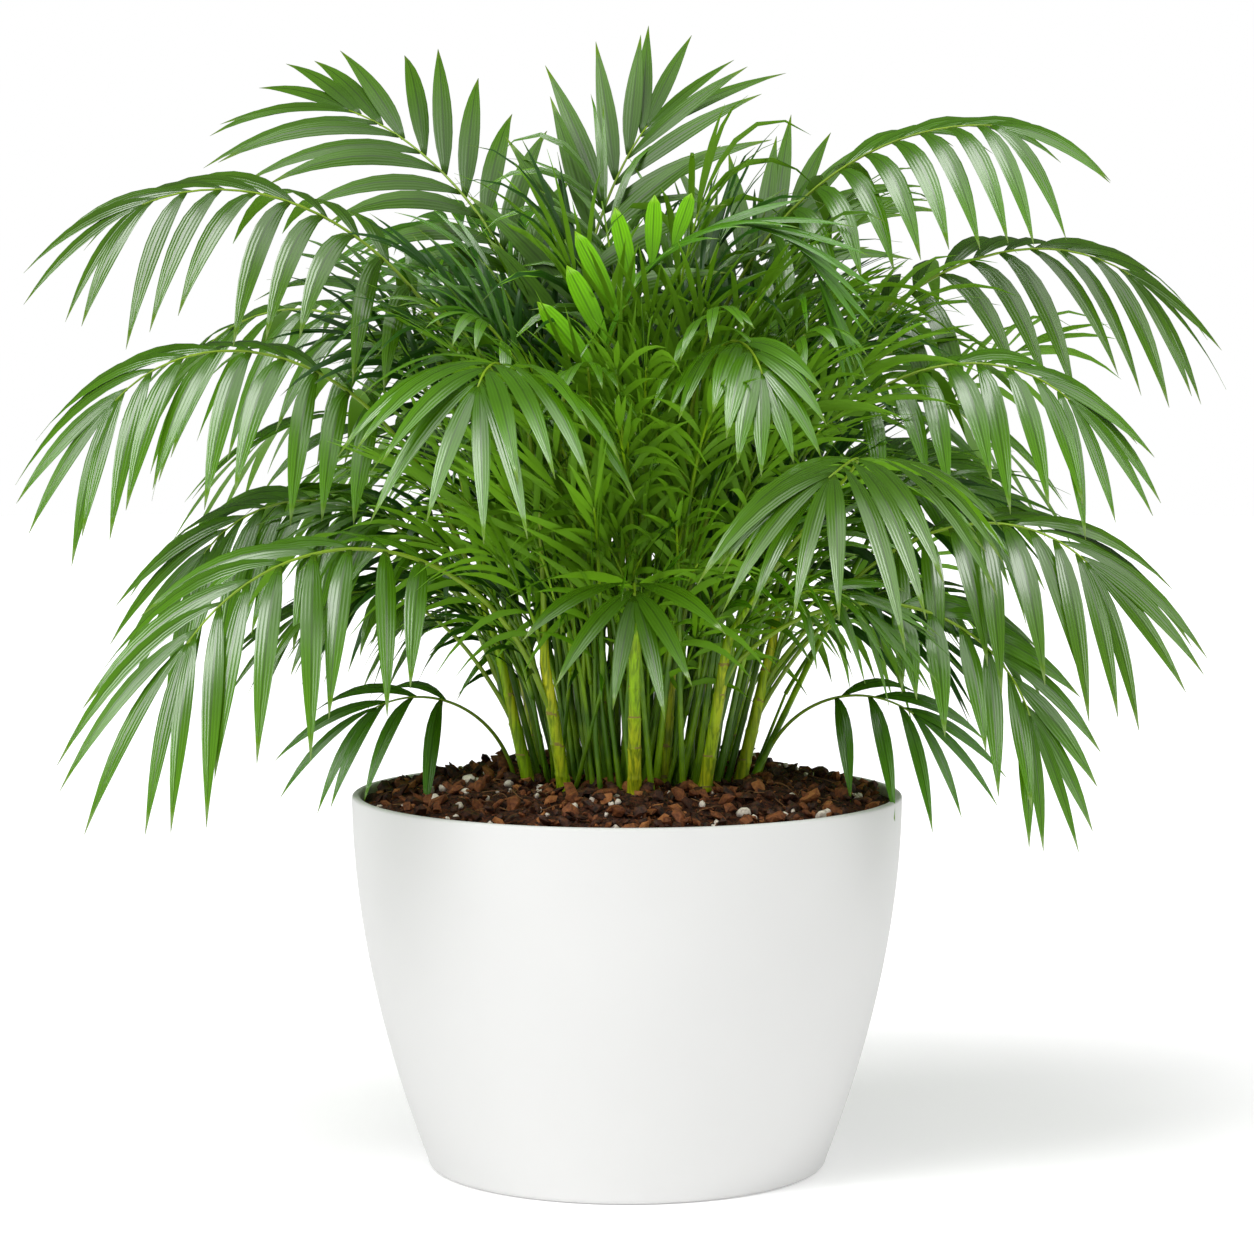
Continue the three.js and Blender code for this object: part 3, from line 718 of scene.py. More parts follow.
def new_cane(foot, turn, lean, length, radii):
    """A straight cane from its foot, leaning by an angle towards a turn."""
    along = math.sin(math.radians(lean)) * outward(turn) + math.cos(math.radians(lean)) * UP
    return SimpleNamespace(foot=foot, along=along, length=length, radii=radii, fronds=[])


def on_cane(cane, distance):
    """Points on a cane's middle line, at distances from its foot."""
    return cane.foot + np.multiply.outer(distance, cane.along)


def cane_radius(cane, distance):
    """Radius up a cane: a flare that falls with the root of the height, then an even taper to the tip."""
    foot, flared, tip = cane.radii
    flare = lerp(foot, flared, np.sqrt(np.clip(distance / FLARE_TOP, 0, 1)))
    taper = lerp(flared, tip, (distance - FLARE_TOP) / (cane.length - FLARE_TOP))
    return np.where(distance < FLARE_TOP, flare, taper)


def heading(frond, share):
    """Directions along, right of and above a rib. Its climb goes from rise to fall by share^bend."""
    climb = np.radians(lerp(frond.rise, frond.fall, share ** frond.bend))
    turn = np.radians(frond.turn + frond.swing * share)
    along = outward(turn) * np.cos(climb)[..., None] + UP * np.sin(climb)[..., None]
    right = np.stack([np.sin(turn), -np.cos(turn), np.zeros_like(turn)], -1)
    return along, right, np.cross(right, along)


def rib_line(frond):
    """The line of a rib: from its root, equal steps along its heading, added up."""
    along, _, _ = heading(frond, (np.arange(RIB_SAMPLES) + 0.5) / RIB_SAMPLES)
    return np.vstack([frond.root, frond.root + np.cumsum(along * frond.length / RIB_SAMPLES, axis=0)])


def on_rib(frond, share):
    """Points on a rib's line, at shares of its length."""
    steps = np.linspace(0, 1, RIB_SAMPLES + 1)
    return np.stack([np.interp(share, steps, frond.line[:, axis]) for axis in range(3)], -1)


def stand_on(point, rise):
    """A rib's root above a point, clear of it by the fit and by its foot's tilted radius."""
    return point + (FIT + RIB_FOOT * abs(math.cos(math.radians(rise)))) * UP


def root_on(cane, frond):
    """A cane's first frond stands on its tip, and the next ones against its side, each a step lower."""
    if not cane.fronds:
        return stand_on(on_cane(cane, cane.length), frond.rise), cane.length
    distance = cane.length - SLOT_DROP * len(cane.fronds)
    reach = cane_radius(cane, distance) + RIB_CREST * RIB_FOOT + FIT
    return on_cane(cane, distance) + reach * outward(math.radians(frond.turn)), distance


def near(line, other):
    """Whether two lines of points come closer than ribs may."""
    apart = np.linalg.norm(line[:, None] - other[None], axis=-1)
    return apart.min() < RIB_CLEAR


def place_frond(frond, cane, others):
    """A frond turns aside, by more each time to either hand, until its rib is clear of the others."""
    aimed = frond.turn
    for i in range(SIDESTEPS):
        frond.turn = aimed + SIDESTEP * math.ceil(i / 2) * (1 if i % 2 == 0 else -1)
        if cane:
            frond.root, frond.slot = root_on(cane, frond)
        frond.line = rib_line(frond)
        if not any(owner is not cane and near(frond.line, line) for owner, line in others):
            return True
    return False


def nearest_cane(ring, turn):
    """The name of the cane of a ring that stands nearest to a turn."""
    first, count = next((r[2], len(r[4])) for r in RINGS if r[0] == ring)
    return f"{ring}_{math.floor((turn - first) * count / 360 + 0.5) % count + 1}"


def fan_fronds(fans, start):
    """Fronds of each fan at even turns, with a scatter in turn, length, rise and fall."""
    for f, fan in enumerate(fans, start):
        name, ring, count, first, last, length, rise, fall, leaf, droop, tint = fan
        for i in range(count):
            even = lerp(first, last, i / (count - 1))
            yield SimpleNamespace(
                name=f"{name}_{i + 1}",
                cane=nearest_cane(ring, even),
                turn=even + FAN_SCATTER["turn"] * wobble(i, f),
                length=length * (1 + FAN_SCATTER["length"] * wobble(i, f + 3)),
                rise=rise + FAN_SCATTER["rise"] * wobble(i, f + 6),
                fall=fall + FAN_SCATTER["fall"] * wobble(i, f + 9),
                leaf=leaf,
                droop=droop,
                tint=tint,
                **FAN_SHAPE,
            )


def grow_fronds(canes):
    """The fronds of the solids, in their order and by their rule."""
    listed = [
        SimpleNamespace(name=row[0], cane=row[1], lean=1, **GROWN, **dict(zip(SIZES, row[2:])))
        for row in SHOWN
    ]
    for name, (x, y), *sizes in SUCKERS:
        sucker = SimpleNamespace(
            name=name, cane=None, lean=1, **{**GROWN, "broad": SUCKER_BROAD}, **dict(zip(SIZES, sizes))
        )
        sucker.root = stand_on(np.array([x, y, SOIL_TOP]), sucker.rise)
        listed.append(sucker)
    listed += fan_fronds(FANS, 0)
    others = [
        (cane, on_cane(cane, np.linspace(0, cane.length, CANE_SAMPLES + 1)))
        for cane in canes.values()
    ]
    fronds = []
    for frond in listed:
        cane = canes.get(frond.cane)
        if place_frond(frond, cane, others):
            others.append((None, frond.line))
            fronds.append(frond)
            frond.stem = cane
            if cane:
                cane.fronds.append(frond)
    return fronds


def grow_fills(canes):
    """Finer fronds on the upper part of the same canes, by the fans' rule, every other one in shade green."""
    fronds = []
    for i, frond in enumerate(fan_fronds(FILLS, len(FANS))):
        cane = canes[frond.cane]
        frond.slot = cane.length * about(FILL_AT, wobble(i, 5))
        frond.pairs = FILL_PAIRS
        frond.broad = FILL_BROAD
        frond.roll = FILL_ROLL * wobble(i, 31)
        frond.spread, frond.loose, frond.facing = INNER_SPREAD, INNER_LOOSE, 0
        frond.tint = (frond.tint, "shade")[i % 2]
        frond.droop *= about(FILL_DROOP, wobble(i, 8))
        reach = cane_radius(cane, frond.slot)
        frond.root = on_cane(cane, frond.slot) + reach * outward(math.radians(frond.turn))
        frond.line = rib_line(frond)
        frond.stem = cane
        fronds.append(frond)
    return fronds


def grow_shoots(canes, count):
    """Thin stems at golden turns inside the ring of canes, with small fronds on their tips and sides.

    Each eleventh one stands outside the ring and leans far out, save at the front, where all are shorter.
    The others fill a disc evenly: their radius goes with the root of their number.
    """
    feet = [cane.foot for cane in canes.values()]
    shoots, fronds = [], []
    for i in range(count):
        turn = math.radians(GOLDEN_TURN * i)
        outer = i % OUTER_SHOOT_EACH == 0
        if outer and math.sin(turn) < OUTER_SHOOTS_BEHIND:
            continue
        radius = OUTER_SHOOT_RADIUS if outer else SHOOT_REACH * math.sqrt((i + 0.5) / count)
        foot = CLUMP + radius * outward(turn) + SOIL_TOP * UP
        if min(np.linalg.norm(foot - other) for other in feet) < SHOOT_APART:
            continue
        feet.append(foot)
        lean = (OUTER_SHOOT_LEAN if outer else 3 + radius / 5) + 8 * wobble(i, 3)
        front = max(0, -math.sin(turn)) * radius / SHOOT_REACH
        height = about(SHOOT_HEIGHT, wobble(i, 7)) * (1 - FRONT_SHOOTS_SHORTER * front)
        thick = about(SHOOT_THICK, wobble(i, 21))
        leaning = turn + math.radians(90 * wobble(i, 17))
        shoot = new_cane(foot, leaning, lean, height, [thick * r for r in SHOOT_RADII])
        levels = [(1, 1, 5)]
        if not outer:
            levels.append((about(SECOND_FROND_AT, wobble(i, 23)), 0.75, 3))
        for level, size, pairs in levels:
            frond = SimpleNamespace(
                turn=math.degrees(turn) + 40 * wobble(i, 9 + level),
                length=size * about(SHOOT_FROND_LENGTH, wobble(i, 11)),
                rise=88 - lean * level,
                fall=62 - radius * 0.7,
                pairs=pairs,
                leaf=size * about(SHOOT_LEAF, wobble(i, 15)),
                droop=about(SHOOT_DROOP, wobble(i, 19)),
                lean=SHOOT_LEAN,
                broad=SHOOT_BROAD * (0.7 + 0.3 * size),
                roll=SHOOT_ROLL * wobble(i, 27 + level),
                spread=INNER_SPREAD,
                loose=INNER_LOOSE,
                facing=0,
                tint=SHOOT_TINTS[i % len(SHOOT_TINTS)],
                slot=shoot.length * level,
                stem=shoot,
                **SHOOT_FROND_SHAPE,
            )
            frond.root = on_cane(shoot, frond.slot)
            frond.line = rib_line(frond)
            shoot.fronds.append(frond)
            fronds.append(frond)
        shoots.append(shoot)
    return shoots, fronds


# Canes, ribs and leaflets as surfaces

def cane_surface(cane, number, sizes, step, sides):
    """Level rings up a cane and on along its first frond, with ridges where sheaths fell.

    The phase is the height over the ring gap, tilted a little round the cane. A ridge is a narrow bell at
    the middle of each phase, and the skin swells slowly towards it.
    """
    gap, ridge = sizes.gap / MM, sizes.ridge / MM
    rows = np.arange(0, cane.length, step)
    path = on_cane(cane, rows)
    radius = cane_radius(cane, rows) * CANE_SLIMMER
    if cane.fronds:
        frond = cane.fronds[0]
        reach = np.linspace(0, SHEATH_REACH, 8)[1:]
        path = np.vstack([path, on_rib(frond, reach / frond.length)])
        slim = cane.radii[2] * CANE_SLIMMER
        thinner = lerp(slim, min(slim, RIB_FOOT * 0.8), (reach / SHEATH_REACH) ** 0.7)
        radius = np.concatenate([radius, thinner])
        rows = np.concatenate([rows, cane.length + reach])
    turn = np.linspace(0, 2 * np.pi, sides, endpoint=False)
    tilt = 0.9 * np.sin(turn + number) + 0.4 * np.sin(3 * turn + 2 * number)
    phase = np.mod((rows[:, None] + tilt[None]) / gap + 0.37 * number, 1)
    off = (phase - 0.5) * gap
    size = cane.radii[1] / CANE_RADII[1]
    swell = 0.5 * np.where(off < 0, 1 + off / gap * 2, 0)
    relief = ridge * size * (np.exp(-((off / RING_HALF) ** 2)) + swell)
    relief *= np.clip((cane.length - rows) / 6, 0, 1)[:, None]
    spokes = outward(turn)[None] * (radius[:, None] + relief)[..., None]
    open_side = np.sin(turn + 2.4 * number + 1.9 * (rows[:-1, None] // gap)) > 0.1
    scar = (np.abs(off[:-1]) < SCAR_HALF) & (rows[:-1] < cane.length * 0.85)[:, None] & open_side
    return path[:, None] + spokes, scar


def joined_canes(name, canes, sizes, step, sides, materials):
    """One piece from all the canes, with the scars' faces in the last material."""
    points, faces, start = [], [], 0
    for number, cane in enumerate(canes):
        rings, scar = cane_surface(cane, number, sizes, step, sides)
        rows = len(rings)
        points.append(rings.reshape(-1, 3))
        faces.append((grid_faces(rows, sides) + start, scar.ravel() * (len(materials) - 1)))
        faces += [(lid + start, 0) for lid in lids(rows, sides)]
        start += rows * sides
    return add_piece(name, np.vstack(points), faces, materials)


def rib_surface(frond, sizes):
    """A tapering oval tube along the rib.

    Below a slot in the side of a stem it starts inside the stem and bends out of it, on a curve of second
    degree through a point just below the slot.
    """
    share = np.linspace(0, 1, RIB_ROWS)
    path = on_rib(frond, share)
    size = min(1, 0.62 + frond.length / 700)
    foot, tip = sizes.rib_foot / MM * size, sizes.rib_tip / MM
    radius = lerp(foot, tip, share ** 0.85)
    stem = frond.stem
    if stem is not None and frond.slot < stem.length:
        start = on_cane(stem, max(frond.slot - FOOT_IN_STEM, 2))
        outside = 0.8 * (frond.root - on_cane(stem, frond.slot))
        bend = on_cane(stem, max(frond.slot - BEND_IN_STEM, 3)) + outside
        s = np.linspace(0, 1, BEND_ROWS, endpoint=False)[:, None]
        path = np.vstack([(1 - s) ** 2 * start + 2 * s * (1 - s) * bend + s ** 2 * path[0], path])
        radius = np.concatenate([np.linspace(foot * 0.9, foot, BEND_ROWS, endpoint=False), radius])
    along = unit(np.gradient(path, axis=0))
    turn = np.radians(frond.turn)
    across = np.broadcast_to([np.sin(turn), -np.cos(turn), 0], path.shape)
    across = unit(across - along * (across * along).sum(1, keepdims=True))
    return tube(path, across, np.cross(across, along), radius, radius * 0.86, RIB_SIDES)


def joined_ribs(name, fronds, sizes, material):
    """One piece from all the ribs, each closed at both ends."""
    points, faces, start = [], [], 0
    for frond in fronds:
        rings = rib_surface(frond, sizes)
        rows = len(rings)
        points.append(rings.reshape(-1, 3))
        # the rings run clockwise, so the faces are turned round
        outer = (grid_faces(rows, RIB_SIDES), *lids(rows, RIB_SIDES))
        faces += [(each[:, ::-1] + start, 0) for each in outer]
        start += rows * RIB_SIDES
    return add_piece(name, np.vstack(points), faces, [material])


def leaf_size(share):
    """A leaflet's length over the longest one's, at its share of the leafy part.

    Past the longest place it falls with the square of the way on, and before it with 1 less a quarter sine.
    """
    outer = 1 - END_SHORTER * ((share - LONGEST_AT) / (1 - LONGEST_AT)) ** 2
    inner = 1 - FOOT_SHORTER * (1 - np.sin(np.pi / 2 * share / LONGEST_AT))
    return np.where(share > LONGEST_AT, outer, inner)


def leaflets_of(frond, number, sizes):
    """Where each leaflet of a frond starts, its first direction, and its sizes, as arrays.

    Leaflets stand at even shares of the leafy part, to both sides, and a last pair ends the rib. The first
    direction is cos f along the rib plus sin f outwards, where f falls with the share, and outwards is
    cos v to the side plus sin v above, so that v is the angle of the V. The length follows leaf_size. The
    scatters grow with how loose the frond is.
    """
    pairs = max(3, round(frond.pairs * sizes.denser))
    place = (np.arange(pairs) + 0.5) / pairs
    side = np.concatenate([np.ones(pairs + 1), -np.ones(pairs + 1)])
    share = np.concatenate([place, [1], place + SIDES_APART / pairs, [1]])
    at = lerp(frond.bare, 1, np.minimum(share, 0.995) ** SPACING)
    along, right, above = heading(frond, at)
    roll = math.radians(frond.roll)
    c, s = math.cos(roll), math.sin(roll)
    right, above = right * c + above * s, above * c - right * s
    scatter = frond.loose * wobble(number, share * 37 + side * 11)
    second = frond.loose * wobble(number + 4, share * 61 + side * 5)
    near_side = frond.lean * side * (right @ FRONT)
    spread = frond.spread * lerp(UPRIGHT_SPREAD, 1, min(1, frond.droop / 2)) * (1 + FAR_FORWARD * near_side)
    forward = np.radians((FORWARD_FOOT - FORWARD_TURN * share + 5 * scatter) * spread)
    forward[share == 1] *= LAST_PAIR
    vee = np.radians(VEE - VEE_PER_DROOP * frond.droop + 5 * second - LEAN * near_side)
    droop = frond.droop * (DROOP_FOOT - DROOP_LOSS * share)
    broad, point, shorter = frond.broad, np.full(len(share), TIP_POWER), 1
    closed = np.zeros(len(share), int)
    if frond.tint == "young":
        opened = (near_side < 0) & (share < OPEN_TO)
        vee = np.where(opened, np.radians(OPEN_VEE), vee)
        forward *= lerp(*OPEN_FORWARD, opened)
        broad = np.where(opened, OPEN_BROAD[0] + OPEN_BROAD[1] * share, CLOSED_BROAD)
        point = lerp(*OPEN_POINT, opened)
        droop *= lerp(*OPEN_DROOP, opened)
        shorter = np.where(opened, OPEN_LENGTH[0] + OPEN_LENGTH[1] * share, 1)
        closed = 1 - opened.astype(int)
    out = right * (side * np.cos(vee))[:, None] + above * np.sin(vee)[:, None]
    first = out * np.sin(forward)[:, None] + along * np.cos(forward)[:, None]
    full = leaf_size(share)
    widest = sizes.width / MM / 2 * lerp(LEAF_NARROWEST, 1, full) * (1 - END_NARROWER * share ** 2)
    bent = 1 + 0.14 * scatter + FAR_STRAIGHTER * near_side
    return {
        "start": on_rib(frond, at) + right * (side * 0.4)[:, None],
        "first": first,
        "ahead": along - first * (along * first).sum(1, keepdims=True),
        "sense": side,
        "tilt": np.radians(BLIND_TILT + 8 * scatter),
        "twist": np.radians(LEAF_TWIST * second / frond.loose ** 0.5),
        "droop": droop * bent,
        "facing": np.full(len(share), frond.facing),
        "point": point,
        "closed": closed,
        "length": frond.leaf * full * (1 + 0.06 * scatter) * shorter,
        "half": widest * broad,
    }


def leaflet_surface(leaf, sizes, count):
    """All the leaflets at once, as six points round each row of each leaflet.

    The middle line starts on the rib and turns down: its direction is the first one less droop times t to
    a power, made a unit. The face turns on its side of that line to the front, by the facing times t, less
    where it looks away from the front. The half width is t^0.75 (1 - t)^p over its highest value, with a
    smaller p for a blunter end, and the edges drop below the middle by the fold times the half width to a
    power across. The count rows stand closer near the rib, where a leaflet bends most.
    """
    rows = np.linspace(0, 1, count + 1) ** ROWS_CLOSER
    mids = (rows[1:] + rows[:-1]) / 2

    def directions(t):
        return unit(leaf["first"][:, None] - (leaf["droop"][:, None] * t ** SAG_POWER)[..., None] * UP)

    steps = directions(mids) * (leaf["length"][:, None] * np.diff(rows))[..., None]
    line = leaf["start"][:, None] + np.concatenate([np.zeros_like(steps[:, :1]), np.cumsum(steps, 1)], 1)
    head = directions(rows)
    ahead = leaf["ahead"][:, None]
    ahead = unit(ahead - head * (ahead * head).sum(-1, keepdims=True))
    above = np.cross(head, ahead) * leaf["sense"][:, None, None]
    turn = leaf["tilt"][:, None] * (1 - 0.5 * rows) + leaf["twist"][:, None] * rows
    normal = above * np.cos(turn)[..., None] - ahead * np.sin(turn)[..., None]
    facing = leaf["facing"][:, None] * rows * np.clip(normal @ FRONT / FACING_SPAN + 0.5, 0, 1)
    normal = unit(normal + facing[..., None] * (FRONT - head * (head @ FRONT)[..., None]))
    edge = np.cross(normal, head)
    shape = rows ** 0.75 * (1 - rows) ** leaf["point"][:, None]
    half = leaf["half"][:, None] * np.maximum(shape / shape.max(1, keepdims=True), lerp(0.22, 0.02, rows))
    across = np.array([1, 0.5, 0, -0.5, -1])
    drop = -sizes.fold * np.abs(across) ** 1.4
    tops = (
        edge[:, :, None] * (half[..., None] * across)[..., None]
        + normal[:, :, None] * (half[..., None] * drop)[..., None]
    )
    keel = -normal * (sizes.thick / MM * np.sqrt(np.clip(half / half.max(), 0.05, 1)))[..., None]
    return line[:, :, None] + np.concatenate([tops, keel[:, :, None]], axis=2)


def joined_leaflets(name, fronds, sizes, rows, materials):
    """One piece from the leaflets of several fronds.

    Upper faces have the first material and lower ones the second. The upper faces of leaflets that are still
    closed have the third.
    """
    sets = [leaflets_of(frond, frond.number, sizes) for frond in fronds]
    leaf = {key: np.concatenate([one[key] for one in sets]) for key in sets[0]}
    points = leaflet_surface(leaf, sizes, rows)
    count, rows, columns, _ = points.shape
    size = rows * columns
    quads = grid_faces(rows, columns)
    lower = np.tile(np.arange(columns) > 3, rows - 1)
    skin = np.where(lower, 1, 2 * leaf["closed"][:, None]).reshape(-1)
    ends = np.stack([np.arange(columns)[::-1], np.arange(columns) + size - columns])
    faces = [(many(quads, count, size), skin), (many(ends, count, size), 0)]
    u = np.array([0, 0.25, 0.5, 0.75, 1, 0.5])
    v = np.linspace(0, 1, rows) ** ROWS_CLOSER
    uv = np.stack(np.broadcast_arrays(u[None, None], v[None, :, None]), -1)
    uv = np.broadcast_to(uv, (count, rows, columns, 2)).reshape(-1, 2)
    crease = np.tile(np.array([1, 0, 2, 0, 3, 0]), count * rows)
    return add_piece(name, points.reshape(-1, 3), faces, materials, uv, crease)


# Loose pieces on the mix

def ball(level):
    """Corners and triangles of an even ball of radius 1."""
    shape = bmesh.new()
    bmesh.ops.create_icosphere(shape, subdivisions=level, radius=1)
    corners = np.array([v.co[:] for v in shape.verts])
    triangles = np.array([[v.index for v in face.verts] for face in shape.faces])
    shape.free()
    return corners, triangles


def scattered(rng, planter, count, reach, waves):
    """Places on the mix: an even spread over the disc, at the mix's own height."""
    radius = reach * np.sqrt(rng.random(count))
    turn = rng.random(count) * 2 * np.pi
    x, y = radius * np.cos(turn), radius * np.sin(turn)
    return np.stack([x, y, mix_height(planter, x, y, waves)], -1)


def lumps(rng, level, places, sizes, rough, lie):
    """Uneven lumps: a ball's corners moved in or out at random, squeezed to three sizes and turned.

    Each is tipped by up to lie degrees about a level axis, and then turned about the upright.
    """
    corners, triangles = ball(level)
    count = len(places)
    grown = 1 + rough * (rng.random((count, len(corners))) - 0.5)
    shaped = corners[None] * grown[..., None] * sizes[:, None]
    tip = np.radians(lie) * (rng.random(count) * 2 - 1)
    turn = rng.random(count) * 2 * np.pi
    c, s = np.cos(tip)[:, None], np.sin(tip)[:, None]
    x, y, z = shaped[..., 0], shaped[..., 1], shaped[..., 2]
    x, z = x * c - z * s, x * s + z * c
    c, s = np.cos(turn)[:, None], np.sin(turn)[:, None]
    turned = np.stack([x * c - y * s, x * s + y * c, z], -1)
    return (turned + places[:, None]).reshape(-1, 3), many(triangles, count, len(corners))


class PALM_OT_planter(bpy.types.Operator):
    """Round planter with a belly and a rolled lip"""

    bl_idname = "palm.planter"
    bl_label = "Planter"

    def execute(self, context):
        sizes = context.scene.palm_planter
        wall, height = sizes.wall / MM, sizes.height / MM
        corner = pot_radius(sizes, CORNER)
        outside = np.linspace(CORNER, height - LIP, POT_ROWS)
        inside = np.linspace(height - LIP, FLOOR, POT_ROWS)
        rim = pot_radius(sizes, height - LIP)
        profile = np.vstack([
            [[AXIS_GAP, 0]],
            bend_of(corner - CORNER, CORNER, CORNER, -90, 0)[:-1],
            np.stack([pot_radius(sizes, outside), outside], -1),
            bend_of(rim - LIP, height - LIP, LIP, 0, 90)[1:],
            bend_of(rim - wall + LIP, height - LIP, LIP, 90, 180)[:-1],
            np.stack([pot_radius(sizes, inside) - wall, inside], -1),
            [[AXIS_GAP, FLOOR]],
        ])
        rings = lathed(profile, POT_SIDES)
        rows = len(rings)
        faces = [(each, 0) for each in (grid_faces(rows, POT_SIDES), *lids(rows, POT_SIDES))]
        # a sharp edge where the inner wall meets the inner floor
        crease = np.zeros(rows * POT_SIDES, int)
        crease[-2 * POT_SIDES:-POT_SIDES] = 1
        skins = [satin_plastic(sizes)]
        piece = add_piece("planter", rings.reshape(-1, 3), faces, skins, crease=crease)
        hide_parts("pot")
        return {"FINISHED"}


class PALM_OT_mix(bpy.types.Operator):
    """Potting mix: peat, bark chips, crumbs, perlite and fibres"""

    bl_idname = "palm.mix"
    bl_label = "Potting mix"

    def execute(self, context):
        planter, sizes = context.scene.palm_planter, context.scene.palm_mix
        waves = mix_waves()
        wall = planter.wall / MM
        edge = pot_radius(planter, SOIL_EDGE) - wall
        depth = np.linspace(SOIL_EDGE - 4, FLOOR + FIT, 14)
        sides = np.stack([pot_radius(planter, depth) - wall - 0.05, depth], -1)
        inner = np.linspace(edge, MIX_GAP, MIX_RINGS)
        profile = np.vstack([[[MIX_GAP, FLOOR + FIT]], sides[::-1], np.stack([inner, inner * 0], -1)])
        rings = lathed(profile, MIX_SIDES)
        top = rings[len(sides) + 1:]
        top[..., 2] = mix_height(planter, top[..., 0], top[..., 1], waves)
        rows = len(rings)
        faces = [(each, 0) for each in (grid_faces(rows, MIX_SIDES), *lids(rows, MIX_SIDES))]
        body = add_piece("potting_mix", rings.reshape(-1, 3), faces, [peat(sizes)])
        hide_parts("soil")

        rng = np.random.default_rng(SEED + 1)
        browns = [
            bark("wet pine bark", sizes.dark, sizes.brown, 0.6),
            bark("pine bark", sizes.brown, sizes.red, 0.7),
            bark("broken inner bark", sizes.red, srgb(BARK_HEART), 0.75),
        ]
        self.scatter(rng, planter, waves, "bark_chips", sizes.chips, sizes.chip / MM, edge - 6, browns, 0.9)
        self.scatter(rng, planter, waves, "bark_crumbs", sizes.crumbs, CRUMB, edge - 2.5, browns, 0.3)
        self.grains(rng, planter, waves, sizes, edge)
        self.fibres(rng, planter, waves, sizes, edge)
        return {"FINISHED"}

    def scatter(self, rng, planter, waves, name, count, length, reach, materials, lift):
        """Broken bark: uneven lumps, longer than wide and wider than thick, most of them small."""
        places = scattered(rng, planter, count, reach, waves)
        long = length / 2 * (0.55 + 0.95 * rng.random(count) ** 1.6)
        wide = long * (0.36 + 0.34 * rng.random(count))
        spread = np.stack([long, wide, long * (0.3 + 0.3 * rng.random(count))], -1)
        places[:, 2] += wide * lift
        points, faces = lumps(rng, 1, places, spread, 0.8, 52)
        kind = np.repeat(rng.choice(3, count, p=[0.5, 0.42, 0.08]), len(faces) // count)
        return add_piece(name, points, [(faces, kind)], materials, smooth=False)

    def grains(self, rng, planter, waves, sizes, edge):
        """Perlite: round uneven lumps, most of them small and a few large."""
        places = scattered(rng, planter, sizes.grains, edge - 6, waves)
        size = 1.1 + 1.5 * rng.random(sizes.grains) ** 2
        size[:LARGE_GRAINS] = 2.6 + 1.2 * rng.random(LARGE_GRAINS)
        spread = size[:, None] * (0.8 + 0.4 * rng.random((sizes.grains, 3)))
        places[:, 2] += size * 0.35 + 0.8
        points, faces = lumps(rng, 2, places, spread, 0.55, 90)
        return add_piece("perlite_grains", points, [(faces, 0)], [perlite(sizes)])

    def fibres(self, rng, planter, waves, sizes, edge):
        """Thin strands that follow the mix: a level arc, lifted to the height under each point."""
        count, rows = sizes.strands, 9
        start = scattered(rng, planter, count, edge - 22, waves)
        heading = rng.random(count)[:, None] * 2 * np.pi
        curl = (rng.random(count)[:, None] - 0.5) * 2.4
        turn = heading + curl * np.linspace(0, 1, rows)
        step = (12 + 14 * rng.random(count))[:, None] / rows
        x = start[:, :1] + np.cumsum(np.cos(turn) * step, 1)
        y = start[:, 1:2] + np.cumsum(np.sin(turn) * step, 1)
        arch = (2.4 * rng.random(count))[:, None] * np.sin(np.linspace(0, np.pi, rows))
        path = np.stack([x, y, mix_height(planter, x, y, waves) + 0.9 + arch], -1)
        across = np.stack([-np.sin(turn), np.cos(turn), np.zeros_like(turn)], -1)
        w = np.radians([90, 210, 330])
        ring = across[:, :, None] * np.cos(w)[:, None] + UP * np.sin(w)[:, None]
        points = path[:, :, None] + FIBRE_RADIUS * ring
        quads = grid_faces(rows, 3)[:, ::-1]
        caps = np.array([[0, 1, 2], [3 * rows - 1, 3 * rows - 2, 3 * rows - 3]])
        faces = [(many(quads, count, 3 * rows), 0), (many(caps, count, 3 * rows), 0)]
        return add_piece("coir_fibres", points.reshape(-1, 3), faces, [coir(sizes)])


